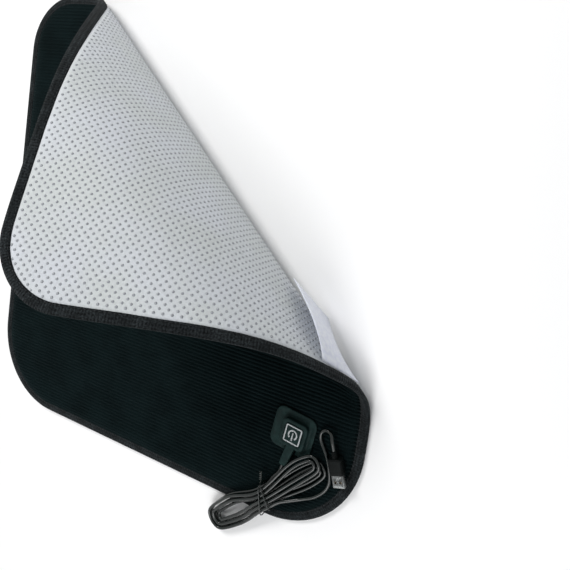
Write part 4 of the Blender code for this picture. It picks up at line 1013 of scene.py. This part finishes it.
def make_tie(material):
    """Wire tie: two wraps round the hank's waist and its ends twisted together."""
    size = looks()[1].tie_diameter
    aside = hank_axes()[2]
    wraps = tie_wraps(size)
    lean = np.array(Matrix.Rotation(TIE_END_TURN, 3, "Z") @ Vector(aside))
    axis = lean * math.cos(TIE_END_RISE) + (0, 0, math.sin(TIE_END_RISE))
    side = np.cross((0, 0, 1), axis)
    side /= np.linalg.norm(side)
    over = np.cross(axis, side)
    root = (wraps[0] + wraps[-1]) / 2 + aside * TIE_CORNER
    first, second = [], []
    for i in range(TIE_END_STEPS + 1):
        angle = 2 * math.pi * TIE_TWISTS * i / TIE_END_STEPS
        place = root + axis * TIE_END_LENGTH * i / TIE_END_STEPS
        offset = (side * math.cos(angle) + over * math.sin(angle)) * TIE_TWIST_RADIUS
        first.append(place - offset)
        second.append(place + offset)
    return new_curve("twist_tie", first[::-1] + wraps + second, size, material, 3)


# The button unit and the plug


def rounded_loop(half_x, half_y, radius, segments=7):
    """Outline of a rounded rectangle, as (x, y), counter-clockwise."""
    radius = min(radius, half_x, half_y)
    points = []
    for k, (sx, sy) in enumerate(((1, 1), (-1, 1), (-1, -1), (1, -1))):
        for angle in np.linspace(k * QUARTER, (k + 1) * QUARTER, segments + 1):
            points.append((
                sx * (half_x - radius) + radius * math.cos(angle),
                sy * (half_y - radius) + radius * math.sin(angle),
            ))
    return np.array(points)


def level_rings(sections, segments=7, per_metre=1):
    """Rings from (half x, half y, corner radius, height), in metres or in a share of one."""
    rings = []
    for section in sections:
        half_x, half_y, radius, height = [value / per_metre for value in section]
        loop = rounded_loop(half_x, half_y, radius, segments)
        rings.append(np.column_stack([loop, np.full(len(loop), height)]))
    return rings


def square_rings(sections):
    """Rings from (half, corner radius, height) in millimetres."""
    return level_rings([(half, half, radius, height) for half, radius, height in sections], per_metre=1000)


def loft(name, rings, material, unit, closed=False):
    """A mesh through rings of points; it meets itself, or is capped at both ends."""
    count = len(rings[0])
    points = [tuple(point) for ring in rings for point in ring]
    faces = grid_faces(len(rings), count, wrap=True, closed=closed)
    if not closed:
        for start, ring in ((0, rings[0]), ((len(rings) - 1) * count, rings[-1])):
            points.append(tuple(np.mean(ring, axis=0)))
            faces += [[start + j, start + (j + 1) % count, len(points) - 1] for j in range(count)]
    return outward(new_piece(name, [unit @ Vector(point) for point in points], faces, material))


def cut_box(piece, low, high, unit):
    """Cut a box out of a piece."""
    corners = [(x, y, z) for z in (low[2], high[2]) for y in (low[1], high[1]) for x in (low[0], high[0])]
    faces = [(0, 2, 3, 1), (4, 5, 7, 6), (0, 1, 5, 4), (2, 6, 7, 3), (0, 4, 6, 2), (1, 3, 7, 5)]
    corners = [unit @ Vector(corner) for corner in corners]
    cutter = new_piece("cutter", corners, faces, piece.data.materials[0], smooth=False)
    cut = piece.modifiers.new("cut", "BOOLEAN")
    cut.operation = "DIFFERENCE"
    cut.solver = "EXACT"
    cut.object = cutter
    finished(piece)
    bpy.data.objects.remove(cutter)


def make_housing(material):
    """Moulded housing: flange, fillet, block and the opening for the button."""
    flange = (
        (22.05, 20.3, 8.3, 0.0), (22.25, 20.5, 8.5, 0.25), (22.25, 20.5, 8.5, 0.95),
        (22.1, 20.35, 8.35, 1.28), (21.7, 19.95, 8.0, 1.4), (19.0, 17.9, 7.2, 1.4), (18.7, 17.6, 7.0, 1.3),
    )
    block = (
        (15.2, 6.3, 1.32), (14.1, 5.8, 1.5), (13.6, 5.4, 2.0), (13.4, 5.2, 2.8), (13.4, 5.2, 5.2),
        (13.3, 5.1, 5.7), (13.0, 4.8, 6.05), (12.55, 4.4, 6.2), (10.35, 3.3, 6.2), (10.1, 3.1, 6.1),
        (10.0, 3.0, 5.9), (10.0, 3.0, 5.2), (12.0, 3.8, 5.2), (12.0, 3.8, 0.0),
    )
    rings = [ring - (FLANGE_OFFSET, 0, 0) for ring in level_rings(flange, per_metre=1000)]
    unit = button_unit()
    piece = loft("housing", rings + square_rings(block), material, unit, True)
    slot_start = -HOUSING_HALF - FIT_GAP
    cut_box(piece, (-SLOT_HALF, SLOT_END, SLOT_LOW), (SLOT_HALF, slot_start, SLOT_TOP), unit)
    return piece


def make_sleeve(material):
    """Flat sleeve that leads the cord out of the housing, with a rounded mouth."""
    # Share of the length, half the width and half the height in millimetres
    sections = (
        (0.00, 4.5, 2.4), (0.02, 4.5, 2.4), (0.50, 4.25, 2.4), (0.86, 4.0, 2.38), (0.93, 3.85, 2.3),
        (0.97, 3.5, 2.15), (0.99, 3.0, 2.0), (1.0, 2.2, 1.85), (0.985, 1.85, 1.75), (0.90, 1.7, 1.7),
    )
    rings = []
    for share, half, high in sections:
        loop = rounded_loop(half / 1000, high / 1000, 0.0009 if share < 0.95 else 0.0017)
        y = -HOUSING_HALF - FIT_GAP - SLEEVE_LENGTH * share
        rings.append(np.array([(x - SLEEVE_OFFSET * share, y, SLEEVE_HEIGHT + z) for x, z in loop]))
    return loft("sleeve", rings, material, button_unit())


def make_button(material):
    """Button cap: hollow below with a lip under the roof, slightly dished above."""
    rings = square_rings((
        (8.4, 1.3, 5.3), (8.4, 1.3, 4.1), (10.8, 3.4, 4.1), (10.8, 3.4, 4.9), (9.6, 2.6, 4.95),
        (9.6, 2.6, 6.15), (9.52, 2.5, 6.4), (9.3, 2.3, 6.56), (8.95, 2.1, 6.6), (7.2, 1.6, 6.58),
        (4.5, 1.2, 6.53), (1.5, 0.8, 6.5),
    ))
    return loft("button_cap", rings, material, button_unit())


def band(name, line, width, material, closed):
    """A flat inlaid line with softened edges, along points (x, y) of the button."""
    line = np.array(line)
    low, edge, top = INLAY_LOW, INLAY_TOP - INLAY_EDGE, INLAY_TOP
    section = ((-0.5, low), (-0.5, edge), (-0.44, top), (0.44, top), (0.5, edge), (0.5, low))
    rings = []
    for place, side in zip(line, left_of(line, closed)):
        rings.append(np.array([(*(place + side * share * width), height) for share, height in section]))
    return loft(name, rings, material, button_unit(), closed)


def make_inlays(material):
    """Light guides in the button: a square frame, an open ring and a bar."""
    square = rounded_loop(FRAME_HALF, FRAME_HALF, FRAME_CORNER)
    sweep = np.linspace(SYMBOL_HALF_OPEN - QUARTER, 3 * QUARTER - SYMBOL_HALF_OPEN, 49)
    ring = [(SYMBOL_RADIUS * math.cos(angle), SYMBOL_RADIUS * math.sin(angle)) for angle in sweep]
    return (
        band("square_inlay", square, FRAME_LINE, material, True),
        band("ring_inlay", ring, SYMBOL_LINE, material, False),
        band("bar_inlay", SYMBOL_BAR, SYMBOL_LINE, material, False),
    )


def make_plug_body(material):
    """Moulded plug body with side grips and a pocket for the shell."""
    back, front = -PLUG_HALF, PLUG_HALF
    stations = [
        (back + 0.0033, 0.0018, 0.0018), (back, 0.0018, 0.0018), (back, 0.0045, 0.0026),
        (back + 0.0003, 0.0060, 0.0033), (back + 0.0012, 0.0068, 0.0037),
    ]
    for k in range(PLUG_GRIPS):
        z = back + GRIPS_START + GRIP_PITCH * k
        grip = ((0, 0.0070), (0.0005, 0.00655), (0.0010, 0.00655), (0.0014, 0.0070))
        stations += [(z + step, half, 0.0038) for step, half in grip]
    stations += [
        (front - 0.0012, 0.0070, 0.0038), (front - 0.0004, 0.0068, 0.0036), (front, 0.0064, 0.0032),
        (front, 0.0063, 0.0026), (front - 0.0037, 0.0063, 0.0026),
    ]
    rings = level_rings([(half_x, half_y, PLUG_CORNER, z) for z, half_x, half_y in stations])
    return loft("plug_moulding", rings, material, plug_unit())


def make_plug_neck(material):
    """Bend sleeve behind the plug: rings on a tapering tube."""
    start = -PLUG_HALF - FIT_GAP
    # Radius in millimetres and place along the plug
    profile = []
    for k in range(NECK_RINGS):
        for share, cut in ((0.0, 0.0), (0.55, 0.0), (0.62, 0.5), (0.93, 0.5)):
            reach = (k + share) / NECK_RINGS
            profile.append((3.1 - 0.5 * reach - cut, start - PLUG_NECK * reach))
    end = start - PLUG_NECK
    profile += [(2.55, start - PLUG_NECK * 0.97), (2.3, end), (1.8, end), (1.8, start)]
    around = np.linspace(0, 2 * math.pi, NECK_SIDES + 1)[:-1]
    circle = np.column_stack([np.cos(around), np.sin(around)])
    rings = [np.column_stack([radius / 1000 * circle, np.full(NECK_SIDES, z)]) for radius, z in profile]
    return loft("plug_neck_moulding", rings, material, plug_unit(), True)


def make_plug_shell(material):
    """Folded steel shell with its two windows and rolled mouth."""
    start, end = PLUG_HALF - SHELL_INSIDE, PLUG_HALF + SHELL_LENGTH
    sections = (
        (0.0060, 0.00225, 0.0007, start), (0.0060, 0.00225, 0.0007, end - 0.0003),
        (0.00594, 0.00219, 0.0007, end - 0.00008), (0.0058, 0.00205, 0.0006, end),
        (0.0057, 0.00195, 0.0005, end - 0.00008), (0.0056, 0.00185, 0.0004, end - 0.0004),
        (0.0056, 0.00185, 0.0004, start),
    )
    unit = plug_unit()
    piece = loft("plug_steel_shell", level_rings(sections, 5), material, unit, True)
    half, z = WINDOW_HALF, end - WINDOW_FROM_MOUTH
    for x in (-WINDOW_OFFSET, WINDOW_OFFSET):
        cut_box(piece, (x - half, -WINDOW_REACH, z - half), (x + half, WINDOW_REACH, z + half), unit)
    return piece


# Operators


def fit(piece, body, slot, *nodes):
    """Let a piece ride a body and put it in place of the frame's own pieces; its slot is not used."""
    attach(piece, body)
    if nodes:
        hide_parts(*nodes)


class HEATING_MAT_OT_camera(bpy.types.Operator):
    """Set the camera at the photograph's angle"""

    bl_idname = "heating_mat.camera"
    bl_label = "Camera"

    def execute(self, context):
        camera = linked("camera", bpy.data.cameras.new("camera"))
        camera.data.sensor_width = CAMERA_SENSOR
        camera.data.lens = CAMERA_SENSOR * CAMERA_FOCAL
        camera.data.shift_x, camera.data.shift_y = CAMERA_SHIFT
        camera.data.clip_start = 0.01
        camera.matrix_world = Matrix.Translation(CAMERA_PLACE) @ Matrix(CAMERA_AXES).transposed().to_4x4()
        context.scene.camera = camera
        return {"FINISHED"}


class HEATING_MAT_OT_cord(bpy.types.Operator):
    """Make the supply cord in its tied hank, with the wire tie and the plug"""

    bl_idname = "heating_mat.cord"
    bl_label = "Cord and plug"

    def execute(self, context):
        colour = looks()[1].cord_colour
        route = cord_route()
        cord = new_curve("supply_cord", route, CORD_DIAMETER, vinyl_finish("black_vinyl", colour), 6)
        tie = make_tie(vinyl_finish("black_tie_coating", colour, 0.4))
        black = silicone_finish("black_moulded_vinyl", (0.0030, 0.0042, 0.0042), 0.45)
        body, neck = make_plug_body(black), make_plug_neck(black)
        # The shell's nickel colour is painted far darker than the metal's own: a painted dark reflection of
        # the black surroundings.
        shell = make_plug_shell(plain_finish("nickel_shell", (0.105, 0.11, 0.11), 0.40, 1.0))
        fit(cord, MAT_BODY, "black_vinyl", "cord_lead", "cord_hank", "cord_tail")
        for piece, node in ((tie, "wire_tie"), (body, "plug_body"), (neck, "plug_neck")):
            fit(piece, MAT_BODY, "black_vinyl", node)
        fit(shell, MAT_BODY, "nickel_plated_steel", "plug_shell")
        return {"FINISHED"}


class HEATING_MAT_OT_plush(bpy.types.Operator):
    """Make the ribbed plush top"""

    bl_idname = "heating_mat.plush"
    bl_label = "Ribbed plush"

    def execute(self, context):
        plush = make_plush()
        fit(plush, MAT_BODY, "black_ribbed_plush", "plush_cover")
        return {"FINISHED"}


class HEATING_MAT_OT_fabric(bpy.types.Operator):
    """Make the anti-slip fabric of the floor side, with its dots"""

    bl_idname = "heating_mat.fabric"
    bl_label = "Anti-slip fabric"

    def execute(self, context):
        fabric, dots = make_fabric(), make_dots()
        fit(fabric, MAT_BODY, "silver_anti_slip_fabric", "anti_slip_cover")
        fit(dots, MAT_BODY, "silver_anti_slip_fabric")
        inset = cloth_inset()
        return {"FINISHED"}


class HEATING_MAT_OT_tape(bpy.types.Operator):
    """Make the edge tape and its stitches"""

    bl_idname = "heating_mat.tape"
    bl_label = "Edge tape"

    def execute(self, context):
        tape = make_tape()
        fit(tape, MAT_BODY, "charcoal_woven_tape", "edge_tape")
        for row in make_stitches():
            fit(row, MAT_BODY, "charcoal_woven_tape")
        return {"FINISHED"}


class HEATING_MAT_OT_label(bpy.types.Operator):
    """Make the blank satin label sewn under the right edge"""

    bl_idname = "heating_mat.label"
    bl_label = "Satin label"

    def execute(self, context):
        label = make_label()
        fit(label, MAT_BODY, "white_satin_ribbon", "care_label")
        return {"FINISHED"}


class HEATING_MAT_OT_button(bpy.types.Operator):
    """Make the button unit: housing, sleeve, button and light inlays"""

    bl_idname = "heating_mat.button"
    bl_label = "Button unit"

    def execute(self, context):
        look = looks()[2]
        silicone = silicone_finish("black_silicone", look.silicone_colour)
        light = plain_finish("grey_white_light_guide", look.light_colour, 0.45)
        fit(make_housing(silicone), MAT_BODY, "black_silicone", "button_housing")
        fit(make_sleeve(silicone), MAT_BODY, "black_silicone", "cord_sleeve")
        fit(make_button(silicone), BUTTON_BODY, "black_silicone", "power_button")
        guides = ("light_frame", "power_symbol_ring", "power_symbol_bar")
        for piece, node in zip(make_inlays(light), guides):
            fit(piece, BUTTON_BODY, "grey_white_light_guide", node)
        return {"FINISHED"}


class HEATING_MAT_OT_inside(bpy.types.Operator):
    """Give the inner layers, wires and electronics their finishes"""

    bl_idname = "heating_mat.inside"
    bl_label = "Inner pieces"

    def execute(self, context):
        finishes = (
            (plain_finish("white_felt", (0.70, 0.69, 0.66), 0.95), "carrier_felt"),
            (plain_finish("polyester_wadding", (0.78, 0.78, 0.77), 0.98), "wadding_layer"),
            (plain_finish("aluminised_felt", (0.62, 0.63, 0.65), 0.35, 0.8), "reflector_felt"),
            (vinyl_finish("red_wire_insulation", (0.42, 0.02, 0.015), 0.35),
             "heating_wire lead_wire_red supply_wire_red"),
            (vinyl_finish("black_wire_insulation", (0.015, 0.015, 0.016), 0.35),
             "lead_wire_black supply_wire_black"),
            (plain_finish("tinned_copper", (0.66, 0.66, 0.65), 0.3, 1.0),
             "cutoff_wire crimp_sleeve_black crimp_sleeve_red"),
            (plain_finish("white_ceramic", (0.78, 0.77, 0.73), 0.4), "thermal_cutoff plug_tongue"),
            (plain_finish("green_circuit_board", (0.02, 0.16, 0.06), 0.35), "circuit_board"),
            (plain_finish("black_epoxy", (0.02, 0.02, 0.021), 0.4),
             "control_chip power_transistor push_switch_plunger"),
            (plain_finish("nickel_plated_steel", (0.70, 0.70, 0.69), 0.26, 1.0), "push_switch_body"),
            (plain_finish("gold_plated_contacts", (0.86, 0.62, 0.26), 0.25, 1.0),
             "plug_contact_1 plug_contact_2 plug_contact_3 plug_contact_4"),
            (plain_finish("clear_led_epoxy", (0.80, 0.81, 0.78), 0.25),
             "status_light_1 status_light_2 status_light_3"),
            (silicone_finish("black_silicone_tray", (0.02, 0.022, 0.022)), "bottom_tray"),
        )
        for material, nodes in finishes:
            for node in nodes.split():
                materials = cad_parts[node].data.materials
                materials.clear()
                materials.append(material)
        return {"FINISHED"}


def background_rays(nodes):
    """1 for the rays that show the background: seen, mirrored or passed through."""
    kinds = ("Is Camera Ray", "Is Glossy Ray", "Is Transmission Ray")
    seen, mirrored, passed = [nodes.node("ShaderNodeLightPath", output=kind) for kind in kinds]
    return seen.math("MAXIMUM", mirrored).math("MAXIMUM", passed)


def make_world():
    """White to the eye, and softer as a light."""
    world = bpy.data.worlds.new("studio")
    world.use_nodes = True
    bpy.context.scene.world = world
    world.node_tree.nodes.clear()
    nodes = Nodes(world.node_tree)
    lit = nodes.node("ShaderNodeBackground", None, ((0.95, 0.97, 1.0, 1), WORLD_LIGHT))
    seen = nodes.node("ShaderNodeBackground", None, (WHITE, 1.0))
    mixed = nodes.node("ShaderNodeMixShader", None, (background_rays(nodes), lit, seen))
    nodes.put(nodes.tree.nodes.new("ShaderNodeOutputWorld").inputs[0], mixed)


def make_floor():
    """Pale floor that fades to plain white far from the object."""
    finish = Finish("pale_floor", (0.96, 0.96, 0.96), 0.9)
    finish.set("Roughness", finish.noise(finish.place(), 0.3) * 0.1 + 0.85)
    distance = finish.node("ShaderNodeVectorMath", {"operation": "LENGTH"}, (finish.place(),), "Value")
    share = distance.between(*FLOOR_FADE) * background_rays(finish)
    far = finish.node("ShaderNodeEmission", None, (WHITE, 1.0))
    mixed = finish.node("ShaderNodeMixShader", None, (share, finish.shader.outputs[0], far))
    finish.put(finish.tree.nodes["Material Output"].inputs["Surface"], mixed)
    corners = ((-1, -1), (1, -1), (1, 1), (-1, 1))
    points = [(x * FLOOR_REACH, y * FLOOR_REACH, FLOOR_HEIGHT) for x, y in corners]
    return new_piece("floor", points, [(0, 1, 2, 3)], finish.material, smooth=False)


def make_lights():
    """Square soft lights that look at the object."""
    lights = []
    for name, place, size, power, colour in LIGHTS:
        light = linked(name, bpy.data.lights.new(name, "AREA"))
        light.data.size, light.data.energy, light.data.color = size, power, colour
        light.location = place
        light.rotation_mode = "QUATERNION"
        light.rotation_quaternion = (Vector(LIGHT_TARGET) - Vector(place)).to_track_quat("-Z", "Y")
        lights.append(light)
    return lights


class HEATING_MAT_OT_stage(bpy.types.Operator):
    """Set a pale floor and soft studio light"""

    bl_idname = "heating_mat.stage"
    bl_label = "Stage"

    def execute(self, context):
        make_world()
        make_floor()
        make_lights()
        context.scene.view_settings.view_transform = "Standard"
        return {"FINISHED"}


OPERATORS = (
    HEATING_MAT_OT_camera,
    HEATING_MAT_OT_cord,
    HEATING_MAT_OT_plush,
    HEATING_MAT_OT_fabric,
    HEATING_MAT_OT_tape,
    HEATING_MAT_OT_label,
    HEATING_MAT_OT_button,
    HEATING_MAT_OT_inside,
    HEATING_MAT_OT_stage,
)


class HEATING_MAT_PT_pieces(bpy.types.Panel):
    """Lists the looks and the operators that make the pieces"""

    bl_idname = "HEATING_MAT_PT_pieces"
    bl_label = "Heating Mat"
    bl_space_type = "VIEW_3D"
    bl_region_type = "UI"
    bl_category = "Heating Mat"

    def draw(self, context):
        column = self.layout.column()
        for group in looks():
            for name in group.__annotations__:
                column.prop(group, name)
        for operator in OPERATORS:
            column.operator(operator.bl_idname)


CLASSES = (*LOOKS.values(), *OPERATORS, HEATING_MAT_PT_pieces)


def register():
    for item in CLASSES:
        bpy.utils.register_class(item)
    for name, group in LOOKS.items():
        setattr(bpy.types.Scene, name, bpy.props.PointerProperty(type=group))


def unregister():
    for name in LOOKS:
        delattr(bpy.types.Scene, name)
    for item in reversed(CLASSES):
        bpy.utils.unregister_class(item)


def main():
    register()
    for operator in OPERATORS:
        group, name = operator.bl_idname.split(".")
        getattr(getattr(bpy.ops, group), name)()


if __name__ == "__main__":
    main()
